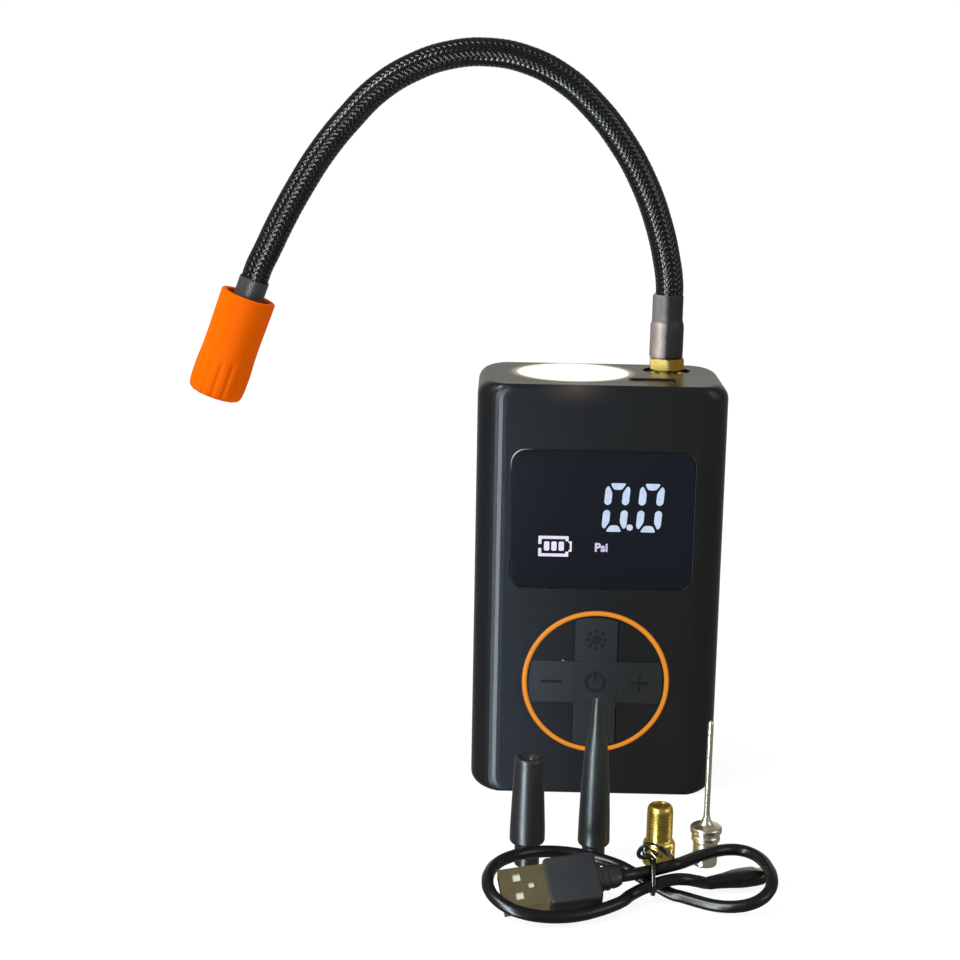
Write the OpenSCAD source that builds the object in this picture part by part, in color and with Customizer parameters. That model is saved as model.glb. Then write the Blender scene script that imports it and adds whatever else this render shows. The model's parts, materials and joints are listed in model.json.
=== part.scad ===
// Hand-held tyre inflator: a battery-driven piston compressor in a moulded two-shell housing, with a
// self-supporting braided air hose, a screw-on valve chuck, a torch, a key cross and its loose kit of
// nozzles and charging cable. The origin is the middle of the housing's underside; the keys face -Y.

/* [Housing] */
// Width of the housing, side to side
body_w = 77; // [75:0.5:84]
// Depth of the housing, front to back
body_d = 45.5; // [45:0.5:50]
// Height of the housing
body_h = 131; // [129:0.5:140]
// Wall of both shells
wall = 2; // [1.8:0.1:2.2]
// Radius of the upright edges, seen from above
plan_r = 9; // [7.5:0.5:10]
// Radius of the face's corners, seen from the front
face_r = 4.5; // [4:0.5:7]
// Small radius round the front and back rims
rim_r = 1.5; // [0.8:0.1:1.8]
// Depth of the front cover
cover_d = 5; // [4.5:0.25:6]

/* [Display] */
// Width of the display window
window_w = 56.4; // [52:0.4:58]
// Height of the display window
window_h = 43.5; // [40:0.5:45]
// Corner radius of the window
window_r = 4.4; // [3:0.2:5]
// Thickness of the window pane
window_t = 1.4; // [1.2:0.1:1.5]
// Height of the window's middle above the floor
window_z = 89.2; // [88.5:0.1:90.5]

/* [Keys] */
// Radius of the accent ring's middle line
ring_r = 22.3; // [21.5:0.1:23]
// Width of the accent ring
ring_w = 1.75; // [1.2:0.05:2]
// Width of an arm of the key cross
key_w = 13; // [12:0.25:14]
// Height of the ring's middle above the floor
pad_z = 37.25; // [36:0.25:40]
// Travel of a key
key_travel = 0.6; // [0.4:0.05:0.7]
// How far a key stands out of the cover
key_proud = 0.2; // [0:0.05:0.4]

/* [Torch] */
// Radius of the torch lens
lens_r = 17.5; // [16:0.1:17.6]
// Thickness of the torch lens
lens_t = 1.2; // [1:0.1:1.4]

/* [Compressor] */
// Module of the reduction gears
gear_module = 0.5; // [0.48:0.01:0.52]
// Teeth of the motor pinion
pinion_teeth = 10; // [10:1:11]
// Teeth of the crank gear
crank_teeth = 36; // [34:1:37]
// Throw of the crank
crank_throw = 4; // [3.6:0.1:4.2]
// Bore radius of the cylinder
bore_r = 7; // [6.6:0.1:7.2]
// Radius of the motor can
motor_r = 12.2; // [11.6:0.1:12.4]
// Length of the motor can
motor_l = 29; // [26:0.5:30]

/* [Battery] */
// Diameter of a cell
cell_d = 18.4; // [18:0.1:18.6]
// Length of a cell
cell_l = 65; // [64:0.2:65.4]

/* [Air hose] */
// Diameter of the braided hose
hose_d = 8.6; // [7.6:0.1:9]
// Outer radius of the valve chuck's grip at its bulge
chuck_r = 9; // [8.2:0.1:9.4]
// Length of the chuck grip
chuck_l = 33.5; // [33:0.5:38]
// Radius of the valve thread in the chuck
valve_r = 3.9; // [3.8:0.05:4.1]
// Flats of the hose nut
nut_af = 10; // [9:0.2:11]

/* [Loose kit] */
// Height of the short nozzle
short_h = 32.8; // [30:0.4:38]
// Height of the long nozzle
long_h = 50.6; // [46:0.4:56]
// Height of the valve adapter
adapter_h = 18; // [17:0.5:22]
// Height of the ball needle
needle_h = 43.6; // [40:0.4:48]
// Diameter of the charging cable
cable_d = 3.4; // [3:0.1:3.5]

/* [Hidden] */
$fn = 64;

// Clearances
fit_gap = 0.05;      // between pieces pressed or screwed together
run_gap = 0.05;      // radial, between a shaft and its bore
body_gap = 0.3;      // between pieces that move past each other
seat_gap = 0.1;      // round a pane or a cell in its pocket

// Places taken from the housing
front_y = -body_d / 2;
back_in = body_d / 2 - wall;
side_in = body_w / 2 - wall;
top_in = body_h - wall;
corner_in = plan_r - wall;
function back_wall_at(x) =
  back_in - corner_in + sqrt(pow(corner_in, 2) - pow(max(abs(x) - side_in + corner_in, 0), 2));
part_y = front_y + cover_d;
lip_d = 2;
lip_t = 1;
lip_gap = 0.15;

// Display, board and keys
ledge = 3.2;
board_t = 1.6;
board_gap = 4.55;
board_y = front_y + wall + board_gap;
board_z0 = 14;
board_h = top_in - 16 - board_z0;
board_w = 2 * (side_in - 2.2);
post_x = board_w / 2 - 4.3;
post_z = [board_z0 + 6, board_z0 + board_h - 5];
post_r = 2.5;
screw_r = 1;
screw_head_r = 1.9;
screw_head_t = 1.3;
key_reach = ring_r - ring_w / 2 - 0.6;
key_stem = 1;
switch_w = 6;
switch_t = 2;
flange_t = 0.7;
flange_w = 0.8;
key_places = [[0, 1], [-1, 0], [0, 0], [1, 0], [0, -1]];

// Case screws through the underside into the cover's feet
foot_x = body_w / 2 - 10.5;
foot_w = 7;
foot_h = 8;
foot_y = part_y + 3.4;
case_screw_r = 1.25;
case_head_r = 2.4;
case_head_t = 1.2;

// Torch
lens_ledge = 2.2;
lens_x = -8.8;
lens_y = back_in - lens_r - 0.45;
lens_floor = top_in - 0 + (wall - lens_t);
bowl_r = lens_r - lens_ledge;
bowl_h = 10;
bowl_t = 1.2;
throat_r = 4.4;

// Battery
cell_r = cell_d / 2;
tray_t = 1.2;
cell_y = back_in - tray_t - seat_gap - cell_r;
cell_z = [wall + tray_t + seat_gap + cell_r, wall + tray_t + seat_gap + 3 * cell_r + 0.6];
strip_t = 0.3;
strip_w = 5;
tray_top = cell_z[1] + cell_r + seat_gap + tray_t;

// Motor and gears, all turning about axes along X
motor_gap = 3.5;              // from the side wall to the motor's rear, room for its boss
gear_t = 3.5;
frame_t = 3;
frame_foot_l = 10;
frame_foot_t = 2;
motor_x0 = motor_gap - side_in;
frame_x0 = motor_x0 + motor_l;
frame_x1 = frame_x0 + frame_t;
gear_x = frame_x1 + body_gap + gear_t;    // outer face of the crank gear
motor_y = back_wall_at(motor_x0) - motor_r - body_gap;
motor_z = tray_top + motor_r + 1.8;
gear_centres = gear_module * (pinion_teeth + crank_teeth) / 2;
crank_y = motor_y - gear_centres;
shaft_r = 1;
axle_r = 2;
can_t = 1;
magnet_t = 2.2;
armature_r = motor_r - can_t - magnet_t - 0.4;
boss_r = 3.5;
boss_l = 2;
cap_t = 3;

// Piston and cylinder
rod_t = 3;
rod_w = 5.2;
skirt_r = 4;
skirt_h = 3;
pin_r = 1.5;
pin_end = gear_x + body_gap;
rod_x0 = pin_end + 0.5;
cyl_x = rod_x0 + rod_t / 2;
deck_t = 3;
deck_z = motor_z + 18;
barrel_z = deck_z + deck_t;
piston_z = barrel_z + 3;
piston_t = 3;
cup_t = 1.5;
cup_boss = 1;
stroke = 2 * crank_throw;
barrel_h = piston_z + piston_t + cup_t + cup_boss + stroke + 0.5 - barrel_z;
barrel_r = bore_r + 1.6;
fin_r = bore_r + 2.4;
fin_pitch = 3;
fin_t = 1;
gasket_t = 0.5;
head_z = barrel_z + barrel_h + gasket_t;
head_t = 6.5;
head_w = 2 * fin_r + 0.4;
bolt_off = fin_r * cos(45) + 1.35;
nipple_r = 1.6;
nipple_l = 3;
tube_r = 2.5;

// Hose socket and nut
hose_x = body_w / 2 - 17.3;
hose_y = back_in - 11;
recess_r = 7.5;
recess_t = 0.8;
recess_z = body_h - recess_t;
thread_r = 3.5;
socket_r = 5;
socket_h = 17;
socket_floor = 8;
socket_flange_w = 3;
socket_flange_t = 2;
socket_z = top_in - socket_h;
nut_base_r = 6;
nut_base_t = 1;
nut_h = 3.7;
nut_z = recess_z + body_gap;
sleeve_z = nut_z + nut_base_t + nut_h;
sleeve_h = [11.2, 7.6];
sleeve_r = hose_d / 2 + 0.5;
hose_z = sleeve_z + sleeve_h[0] + sleeve_h[1];

// Route of the hose's middle line after it leaves the sleeve, at depth hose_y
hose_route = [
  [21.2, 154], [21.2, 158], [20, 166], [17, 177.5], [12, 190], [5, 202], [-4, 213], [-14, 221.5],
  [-25.5, 227], [-37, 229], [-49, 228], [-60.5, 224], [-71, 217.5], [-80, 208.5], [-88.5, 198],
  [-95.5, 187], [-101.3, 176.5], [-106, 166.8], [-108.6, 161.5], [-110, 157.6]
];
hose_end = hose_route[len(hose_route) - 1];
hose_run = hose_end - hose_route[len(hose_route) - 2];
chuck_tilt = atan(hose_run[0] / hose_run[1]);
tip_l = 13;
rim_s = 6.3;
insert_s = rim_s + 12.7;
insert_r = 6.2;
mouth_s = rim_s + chuck_l;
thread_l = 8.5;
cavity_r = valve_r + 1;
barb_r = 2.5;

// USB-A output in the top, USB-C inlet on the board's right edge
port_x = 15.2;
port_y = front_y + 12.75;
port_w = 13.2;
port_d = 5.8;
port_h = 14;
port_wall = 0.35;
port_gap = 0.5;
inlet_z = 70;
inlet_w = 9;
inlet_t = 3.2;
inlet_l = 7.5;
inlet_y = board_y + board_t + inlet_t / 2;

// Vents behind the motor
vent_n = 6;
vent_w = 22;
vent_h = 1.6;
vent_pitch = 4;

// Where the loose kit stands on the floor in front of the housing
short_at = [-21.2, -78];
long_at = [-2, -76.2];
adapter_at = [17, -75];
needle_at = [30.4, -75];

// Plug of the charging cable, lying on its long edge
plug_tilt = 35;
plug_turn = 10.7;
plug_at = [-16.3, -108.6, 6.9];
plug_w = 14.4;
plug_t = 6.6;
plug_l = 14.5;
shell_w = 12;
shell_t = 4.5;
shell_l = 12.5;
latch_hole = 2.2;
latch_back = 3.5;
latch_out = 2.8;
seam_hole = 1.6;
seam_back = 7.4;
relief_l = 5;
relief_w = 5.6;
relief_t = 5;

// Bundle of the cable at its tie: the three strands cross between two layers, stacked at 45 degrees
tie_at = [13.2, -99.4, 5.15];
tie_half = 6;
layer_up = 2.8;
layer_low = -1.2;
lean = cos(45);
tie_w = 1.4;
tie_t = 0.9;
tie_gap = 0.6;

function smooth(x) = let(c = min(max(x, 0), 1)) c * c * (3 - 2 * c);
function strand(u, stack, layer) =
  [tie_at[0] + u, tie_at[1] + lean * (stack - layer), tie_at[2] + lean * (stack + layer)];

// One loop of the hank: a drop-shaped lobe from the tie and back, its far side raised
function loop_point(t, side, from, to, reach, far_w, near_w, droop, low_z, high_z, far_p, near_p) =
  let(
    a = 360 * t,
    s = (1 - cos(a)) / 2,
    half = a < 180 ? far_w * sin(a) * pow(s, far_p) : near_w * sin(a) * pow(s, near_p),
    fall = 1 - smooth((t - 0.4) / 0.42),
    level = low_z + (high_z - low_z) * fall,
    enter = 1 - smooth(t / 0.45),
    leave = smooth((t - 0.6) / 0.4),
    across = (from[1] - tie_at[1]) * (1 - smooth(t)) + (to[1] - tie_at[1]) * smooth(t)
  )
  [
    from[0] + side * reach * s,
    tie_at[1] + half + droop * s * s + across,
    level + (from[2] - high_z) * enter + (to[2] - low_z) * leave
  ];

loop_rings = 24;
cable_low = cable_d / 2 + 0.05;
right_from = strand(tie_half, 3.8, layer_up);
right_to = strand(tie_half, -3.3, layer_low);
left_from = strand(-tie_half, 3.3, layer_low);
left_to = strand(-tie_half, -3.6, layer_up) + [0, -1.5, -0.8];
right_loop = [
  for (i = [0:loop_rings])
    if (i != 1 && i != loop_rings - 1)
      loop_point(i / loop_rings, 1, right_from, right_to, 27, 21, 13, 0, cable_low, 8.2, 0.7, 0.7)
];
left_loop = [
  for (i = [0:loop_rings])
    if (i != 1 && i != loop_rings - 1)
      loop_point(i / loop_rings, -1, left_from, left_to, 39.5, 15.2, 15.2, -7.5, cable_low, 9.3, 0.35, 0.24)
];

function plug_frame(a, b, n) =
  let(
    up = [0, cos(plug_tilt), sin(plug_tilt)],
    along = cos(plug_turn) * [1, 0, 0] + sin(plug_turn) * up,
    cross = -sin(plug_turn) * [1, 0, 0] + cos(plug_turn) * up,
    out = [0, -sin(plug_tilt), cos(plug_tilt)]
  )
  plug_at + a * along + b * cross + n * out;

// Small plug of the cable, inside the right loop, its tip under the loop's end
small_plug_at = [31.2, -95, 3.4];
small_plug_turn = 22;
small_plug_tilt = -10;
small_relief_l = 2;
small_plug_l = 10;
small_plug_w = 8.6;
small_plug_t = 4.4;
small_shell_l = 5.6;
small_shell_w = 8.3;
small_shell_t = 2.5;
cable_path = concat(
  [plug_frame(plug_l + relief_l, 0, 0), plug_frame(plug_l + relief_l + 2.2, 0, 0)],
  [strand(0, 2.1, layer_up)],
  right_loop,
  [strand(0, 0, layer_low)],
  left_loop,
  [strand(0, -2.1, layer_up), strand(tie_half, -0.4, layer_up)],
  [[22.4, -100.7, 6.5], [25.7, -98.5, 5.1]],
  [small_plug_at - 2.2 * [cos(small_plug_turn), sin(small_plug_turn), 0], small_plug_at]
);

// Least gap between stretches of the cable that lie apart along it, on points a quarter ring apart
cable_points = [
  for (i = [0:len(cable_path) - 2])
    for (k = [0:3])
      cable_path[i] + k / 4 * (cable_path[i + 1] - cable_path[i])
];
apart = 16;
cable_gap = min([
  for (i = [0:len(cable_points) - 1 - apart])
    min([for (j = [i + apart:len(cable_points) - 1]) norm(cable_points[i] - cable_points[j])])
]) - cable_d;
echo(least_gap_of_cable_to_itself = cable_gap);

// ---------------------------------------------------------------- shared shapes

module rounded_plate(w, h, r) {
  square([w - 2 * r, h], center = true);
  square([w, h - 2 * r], center = true);
  for (sx = [-1, 1], sy = [-1, 1]) {
    translate([sx * (w / 2 - r), sy * (h / 2 - r)]) circle(r = r);
  }
}

// A plate in the XZ plane, its front at y, going back by t
module upright_plate(w, h, r, y, t, x = 0, z = 0) {
  translate([x, y + t, z]) rotate([90, 0, 0]) linear_extrude(t) rounded_plate(w, h, r);
}

module along_x(x, y, z) {
  translate([x, y, z]) rotate([0, 90, 0]) children();
}

module along_y(x, y, z) {
  translate([x, y, z]) rotate([-90, 0, 0]) children();
}

// A tube swept along points, each ring square to the path there
function unit(v) = v / norm(v);
function tangent(p, i) = unit(p[min(i + 1, len(p) - 1)] - p[max(i - 1, 0)]);
function ring_side(t) = unit(abs(t[1]) < 0.9 ? cross(t, [0, 1, 0]) : cross(t, [0, 0, 1]));
function carried(side, t) = unit(side - (side * t) * t);
function sides_along(p, i, side) =
  i >= len(p) ? [] : let(s = carried(side, tangent(p, i))) concat([s], sides_along(p, i + 1, s));
module swept_tube(p, r, n) {
  side = sides_along(p, 0, ring_side(tangent(p, 0)));
  points = [
    for (i = [0:len(p) - 1])
      let(t = tangent(p, i), v = cross(t, side[i]))
        for (k = [0:n - 1])
          p[i] + r * (cos(360 * k / n) * side[i] + sin(360 * k / n) * v)
  ];
  last = len(p) - 1;
  walls = [
    for (i = [0:last - 1])
      for (k = [0:n - 1])
        let(k2 = (k + 1) % n, a = i * n)
          for (f = [[a + k, a + n + k, a + n + k2], [a + k, a + n + k2, a + k2]]) f
  ];
  start = [for (k = [1:n - 2]) [0, k, k + 1]];
  finish = [for (k = [1:n - 2]) [last * n, last * n + k + 1, last * n + k]];
  polyhedron(points, concat(walls, start, finish), convexity = 10);
}

// Involute gear outline; teeth stand short and thin for running play
pressure = 20;
tooth_head = 0.8;
tooth_foot = 1.1;
tooth_play = 0.06;
function involute(a) = tan(a) - a * PI / 180;
function flank(n, r) =
  let(
    pitch_r = gear_module * n / 2,
    base_r = pitch_r * cos(pressure),
    at = r > base_r ? acos(base_r / r) : 0
  )
  90 / n - tooth_play / pitch_r * 90 / PI + (involute(pressure) - involute(at)) * 180 / PI;
module gear_outline(n, turn) {
  pitch_r = gear_module * n / 2;
  root_r = pitch_r - tooth_foot * gear_module;
  top_r = pitch_r + tooth_head * gear_module;
  steps = [root_r, max(root_r + 0.01, pitch_r * cos(pressure)), pitch_r, top_r];
  rotate(turn)
    polygon([
      for (i = [0:n - 1])
        for (k = [0:7])
          let(r = steps[k < 4 ? k : 7 - k], a = 360 * i / n + (k < 4 ? -1 : 1) * flank(n, r))
            [r * cos(a), r * sin(a)]
    ]);
}

// ---------------------------------------------------------------- housing

// How far a rounded edge draws back at depth t behind the face it leads to
function edge_draw(t, r) = t < r ? r - sqrt(pow(r, 2) - pow(r - t, 2)) : 0;
function plate_ring(w, h, r, y, z) = [
  for (q = [0:3])
    let(cx = (q == 0 || q == 3 ? 1 : -1) * (w / 2 - r), cz = (q < 2 ? 1 : -1) * (h / 2 - r))
      for (k = [0:corner_steps])
        let(a = 90 * (q + k / corner_steps)) [cx + r * cos(a), y, z + cz + r * sin(a)]
];

// Outside of both shells, lofted from front to back; the rounding runs on round the corners
corner_steps = 9;
edge_steps = 12;
module case_form() {
  front_depths = [for (k = [0:edge_steps]) plan_r * (1 - cos(90 * k / edge_steps))];
  depths = concat(front_depths, [for (k = [edge_steps:-1:0]) body_d - front_depths[k]]);
  n = 4 * (corner_steps + 1);
  last = len(depths) - 1;
  points = [
    for (t = depths)
      let(near = min(t, body_d - t), side = edge_draw(near, plan_r), rim = edge_draw(near, rim_r))
        each plate_ring(body_w - 2 * side, body_h - 2 * rim, face_r, t - body_d / 2, body_h / 2)
  ];
  walls = [
    for (i = [0:last - 1])
      for (k = [0:n - 1])
        let(a = i * n, k2 = (k + 1) % n) [a + k, a + k2, a + n + k2, a + n + k]
  ];
  front = [for (k = [n - 1:-1:0]) k];
  back = [for (k = [0:n - 1]) last * n + k];
  polyhedron(points, concat([front], walls, [back]), convexity = 4);
}

module case_inside(inset) {
  h = body_h - 2 * inset;
  intersection() {
    translate([0, 0, inset]) linear_extrude(h) rounded_plate(body_w - 2 * inset, body_d - 2 * inset, plan_r - inset);
    upright_plate(body_w - 2 * inset, h, face_r - inset, -body_d / 2, body_d, 0, body_h / 2);
  }
}

module depth_slab(y0, y1) {
  translate([-body_w, y0, -1]) cube([2 * body_w, y1 - y0, body_h + 2]);
}

module rear_housing() {
  color("#23272b")
  difference() {
    intersection() {
      case_form();
      depth_slab(part_y, body_d);
    }
    case_inside(wall);
    translate([lens_x, lens_y, lens_floor]) cylinder(r = lens_r + seat_gap, h = wall);
    translate([lens_x, lens_y, top_in - 1]) cylinder(r = bowl_r, h = wall + 1);
    translate([hose_x, hose_y, recess_z]) cylinder(r = recess_r, h = wall);
    translate([hose_x, hose_y, top_in - 1]) cylinder(r = socket_r + fit_gap, h = wall + 2);
    translate([port_x, port_y, top_in - 1])
      linear_extrude(wall + 2) rounded_plate(port_w + 2 * port_gap, port_d + 2 * port_gap, 0.6);
    along_x(side_in - 1, inlet_y, inlet_z)
      linear_extrude(wall + 2) rounded_plate(inlet_w + 2 * port_gap, inlet_t + 2 * port_gap, inlet_t / 2 + port_gap - 0.1);
    for (i = [0:vent_n - 1]) {
      upright_plate(
        vent_w, vent_h, vent_h / 2 - 0.05, back_in - 1, wall + 2,
        motor_x0 + motor_l / 2, motor_z + (i - (vent_n - 1) / 2) * vent_pitch
      );
    }
    for (sx = [-1, 1]) {
      translate([sx * foot_x, foot_y, -1]) cylinder(r = case_screw_r + fit_gap, h = wall + 2);
      translate([sx * foot_x, foot_y, -1]) cylinder(r = case_head_r + seat_gap, h = case_head_t + 1);
    }
  }
}

module key_opening() {
  reach = key_reach + body_gap;
  intersection() {
    circle(r = reach);
    union() {
      square([key_w + 2 * body_gap, 2 * reach], center = true);
      square([2 * reach, key_w + 2 * body_gap], center = true);
    }
  }
}

module front_cover() {
  color("#1f2327")
  difference() {
    union() {
      difference() {
        intersection() {
          case_form();
          depth_slab(-body_d, part_y);
        }
        case_inside(wall);
      }
      cover_lip();
      for (sx = [-1, 1]) {
        translate([sx * foot_x - foot_w / 2, front_y + wall - 0.2, wall + seat_gap])
          cube([foot_w, foot_y - front_y - wall + 0.2 + 3, foot_h]);
        for (z = post_z) {
          along_y(sx * post_x, front_y + wall - 0.2, z) cylinder(r = post_r, h = board_gap + 0.2);
        }
      }
    }
    upright_plate(
      window_w + 2 * seat_gap, window_h + 2 * seat_gap, window_r + seat_gap,
      front_y - 1, window_t + 1, 0.5, window_z
    );
    upright_plate(window_w - 2 * ledge, window_h - 2 * ledge, 1, front_y - 1, wall + 2, 0.5, window_z);
    along_y(0, front_y - 1, pad_z) difference() {
      cylinder(r = ring_r + ring_w / 2, h = 1 + ring_depth);
      translate([0, 0, -1]) cylinder(r = ring_r - ring_w / 2, h = 3 + ring_depth);
    }
    translate([0, front_y + wall + 1, pad_z]) rotate([90, 0, 0]) linear_extrude(wall + 2) key_opening();
    for (sx = [-1, 1]) {
      translate([sx * foot_x, foot_y, 0]) cylinder(r = case_screw_r + fit_gap, h = wall + foot_h - 1);
      for (z = post_z) {
        along_y(sx * post_x, front_y + wall + 0.6, z) cylinder(r = screw_r + fit_gap, h = board_gap);
      }
    }
  }
}

ring_depth = 1;

module cover_lip() {
  difference() {
    union() {
      intersection() {
        case_inside(wall + lip_gap);
        depth_slab(part_y - 1.5, part_y + lip_d);
      }
      intersection() {
        case_inside(wall - 0.5);
        depth_slab(part_y - 1.5, part_y);
      }
    }
    case_inside(wall + lip_gap + lip_t);
  }
}

module case_screws() {
  color("#6d7175")
  for (sx = [-1, 1]) {
    translate([sx * foot_x, foot_y, 0]) {
      difference() {
        union() {
          translate([0, 0, 0.2]) cylinder(r = case_head_r, h = case_head_t - 0.2);
          translate([0, 0, case_head_t]) cylinder(r = case_screw_r, h = wall + foot_h - 3 - case_head_t);
        }
        translate([0, 0, -0.5]) cylinder(r = 1, h = 1.3, $fn = 6);
      }
    }
  }
}

module display_window() {
  color("#10131a")
  upright_plate(window_w, window_h, window_r, front_y, window_t - 0.02, 0.5, window_z);
}

module accent_ring() {
  color("#f2641a")
  along_y(0, front_y - 0.05, pad_z) difference() {
    cylinder(r = ring_r + ring_w / 2 - fit_gap, h = ring_depth);
    translate([0, 0, -1]) cylinder(r = ring_r - ring_w / 2 + fit_gap, h = ring_depth + 2);
  }
}

// ---------------------------------------------------------------- keys

// One key of the cross: [0, 0] is the middle key, the others point to their side
module key_cap(place) {
  mid = place[0] == 0 && place[1] == 0;
  inner = key_w / 2 + body_gap;
  turn = atan2(place[1], place[0]);
  reach = mid ? 0 : (inner + key_reach) / 2;
  color("#15181b")
  translate([0, 0, pad_z]) {
    difference() {
      union() {
        translate([0, front_y + wall, 0]) rotate([90, 0, 0]) linear_extrude(wall + key_proud)
          if (mid) {
            square(key_w, center = true);
          } else {
            intersection() {
              circle(r = key_reach);
              rotate(turn) translate([inner, -key_w / 2]) square([key_reach, key_w]);
            }
          }
        along_y(reach * place[0], front_y + wall - 0.2, reach * place[1]) cylinder(r = 2, h = key_stem + 0.2);
        if (!mid) {
          translate([0, front_y + wall + seat_gap + flange_t, 0]) rotate([90, 0, 0])
            linear_extrude(flange_t) rotate(turn)
              translate([inner + 2, -key_w / 2 - flange_w])
                square([key_reach - inner - 4.5, key_w + 2 * flange_w]);
          translate([0, front_y + wall + seat_gap + 0.2, 0]) rotate([90, 0, 0])
            linear_extrude(0.5) rotate(turn)
              translate([inner + 2.5, -key_w / 2 + 1]) square([key_reach - inner - 5.5, key_w - 2]);
        }
      }
      rotate([90, 0, 0]) translate([0, 0, -front_y + key_proud - 0.25]) linear_extrude(1)
        translate(reach * place) key_sign(place);
    }
  }
}

// Plain sunk signs: rays, bar, ring with a bar, cross and a dot
sign_r = 3.2;
sign_line = 0.9;
module key_sign(place) {
  if (place == [0, 1]) {
    circle(r = sign_r * 0.45);
    for (a = [0:45:315]) {
      rotate(a) translate([sign_r * 0.66, -sign_line / 2]) square([sign_r * 0.34, sign_line]);
    }
  } else if (place == [-1, 0]) {
    square([2 * sign_r, sign_line], center = true);
  } else if (place == [1, 0]) {
    square([1.7 * sign_r, sign_line], center = true);
    square([sign_line, 1.7 * sign_r], center = true);
  } else if (place == [0, 0]) {
    difference() {
      circle(r = sign_r);
      circle(r = sign_r - sign_line);
      translate([-sign_line, 0]) square([2 * sign_line, 2 * sign_r]);
    }
    translate([-sign_line / 2, 0.4]) square([sign_line, sign_r]);
  } else {
    circle(r = sign_r / 2);
  }
}

module key_light() {
  key_cap(key_places[0]);
}

module key_minus() {
  key_cap(key_places[1]);
}

module key_power() {
  key_cap(key_places[2]);
}

module key_plus() {
  key_cap(key_places[3]);
}

module key_mode() {
  key_cap(key_places[4]);
}

// ---------------------------------------------------------------- electronics

module display_module() {
  y0 = front_y + window_t + seat_gap;
  color("#2a2d33")
  upright_plate(
    window_w - 2 * ledge - 1, window_h - 2 * ledge - 1, 0.8, y0, board_y - y0, 0.5, window_z
  );
}

module control_board() {
  color("#1d6b3c")
  difference() {
    upright_plate(board_w, board_h, 2, board_y, board_t, 0, board_z0 + board_h / 2);
    for (sx = [-1, 1], z = post_z) {
      along_y(sx * post_x, board_y - 1, z) cylinder(r = screw_r + seat_gap, h = board_t + 2);
    }
  }
}

module small_screws() {
  color("#b9bcc0")
  for (sx = [-1, 1], z = post_z) {
    along_y(sx * post_x, 0, z) {
      translate([0, 0, board_y + board_t]) cylinder(r = screw_head_r, h = screw_head_t);
      translate([0, 0, board_y - board_gap + 1.5]) cylinder(r = screw_r, h = board_gap - 1.5 + board_t);
    }
  }
}

module key_switches() {
  reach = (key_w / 2 + body_gap + key_reach) / 2;
  button = board_gap - switch_t - key_stem - key_travel - seat_gap;
  color("#c9c2b4")
  for (place = key_places) {
    translate([reach * place[0], 0, pad_z + reach * place[1]]) {
      upright_plate(switch_w, switch_w, 0.6, board_y - switch_t, switch_t);
      along_y(0, board_y - switch_t - button, 0) cylinder(r = 1.6, h = button);
    }
  }
}

module pressure_sensor() {
  color("#33363a")
  translate([-20, board_y + board_t, head_z + 2]) {
    translate([-3.5, 0, -3.5]) cube([7, 4.5, 7]);
    along_y(0, 4.5, 0) difference() {
      cylinder(r = 1.3, h = 3);
      translate([0, 0, 1]) cylinder(r = 0.6, h = 3);
    }
  }
}

module usb_port_shell() {
  z0 = body_h - 0.6 - port_h;
  color("#b4b8bd")
  translate([port_x, port_y, 0]) {
    difference() {
      union() {
        translate([0, 0, z0]) linear_extrude(port_h) rounded_plate(port_w, port_d, 0.4);
        translate([0, 0, top_in - 0.8]) linear_extrude(0.8) rounded_plate(port_w + 4, port_d + 3, 1);
      }
      translate([0, 0, z0 + 1.5]) linear_extrude(port_h)
        rounded_plate(port_w - 2 * port_wall, port_d - 2 * port_wall, 0.3);
    }
  }
}

module usb_port_tongue() {
  z0 = body_h - 0.6 - port_h + 1.5;
  color("#e8e8e4")
  translate([port_x - (port_w - 2) / 2, port_y + 0.35, z0]) cube([port_w - 2, 1.8, port_h - 3]);
}

module usb_inlet() {
  x0 = body_w / 2 - 0.5 - inlet_l;
  color("#a9adb2")
  along_x(x0, inlet_y, inlet_z) {
    difference() {
      linear_extrude(inlet_l) rounded_plate(inlet_w, inlet_t, inlet_t / 2 - 0.05);
      translate([0, 0, 1]) linear_extrude(inlet_l) rounded_plate(inlet_w - 0.6, inlet_t - 0.6, inlet_t / 2 - 0.35);
    }
    translate([-(inlet_w - 2.2) / 2, -0.35, 0.5]) cube([inlet_w - 2.2, 0.7, inlet_l - 1.5]);
  }
}

// ---------------------------------------------------------------- torch

module torch_lens() {
  color("#fff6e0")
  translate([lens_x, lens_y, lens_floor]) cylinder(r = lens_r, h = lens_t - 0.02);
}

module torch_reflector() {
  z0 = top_in - bowl_h;
  color("#d9dcdf")
  translate([lens_x, lens_y, 0]) {
    rotate_extrude() polygon([
      [throat_r, z0], [throat_r + bowl_t, z0 - bowl_t], [throat_r + 3, z0 - bowl_t],
      [throat_r + 3, z0], [bowl_r - 3.4, top_in - 5.2], [bowl_r - 0.2, top_in - 1.5],
      [lens_r - 0.4, top_in - 1.5], [lens_r - 0.4, top_in], [bowl_r - 0.6, top_in],
      [bowl_r - 4.2, top_in - 4.6], [throat_r + 1.4, z0 + 0.9]
    ]);
  }
}

module torch_board() {
  z1 = top_in - bowl_h - bowl_t;
  color("#e6e6e0")
  translate([lens_x, lens_y, 0]) {
    translate([0, 0, z1 - 1.6]) cylinder(r = 9, h = 1.6);
    translate([-2.5, -2.5, z1]) cube([5, 5, 1]);
    translate([0, 0, z1 + 1]) cylinder(r = 1.8, h = 0.5);
  }
}

// ---------------------------------------------------------------- battery

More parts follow.
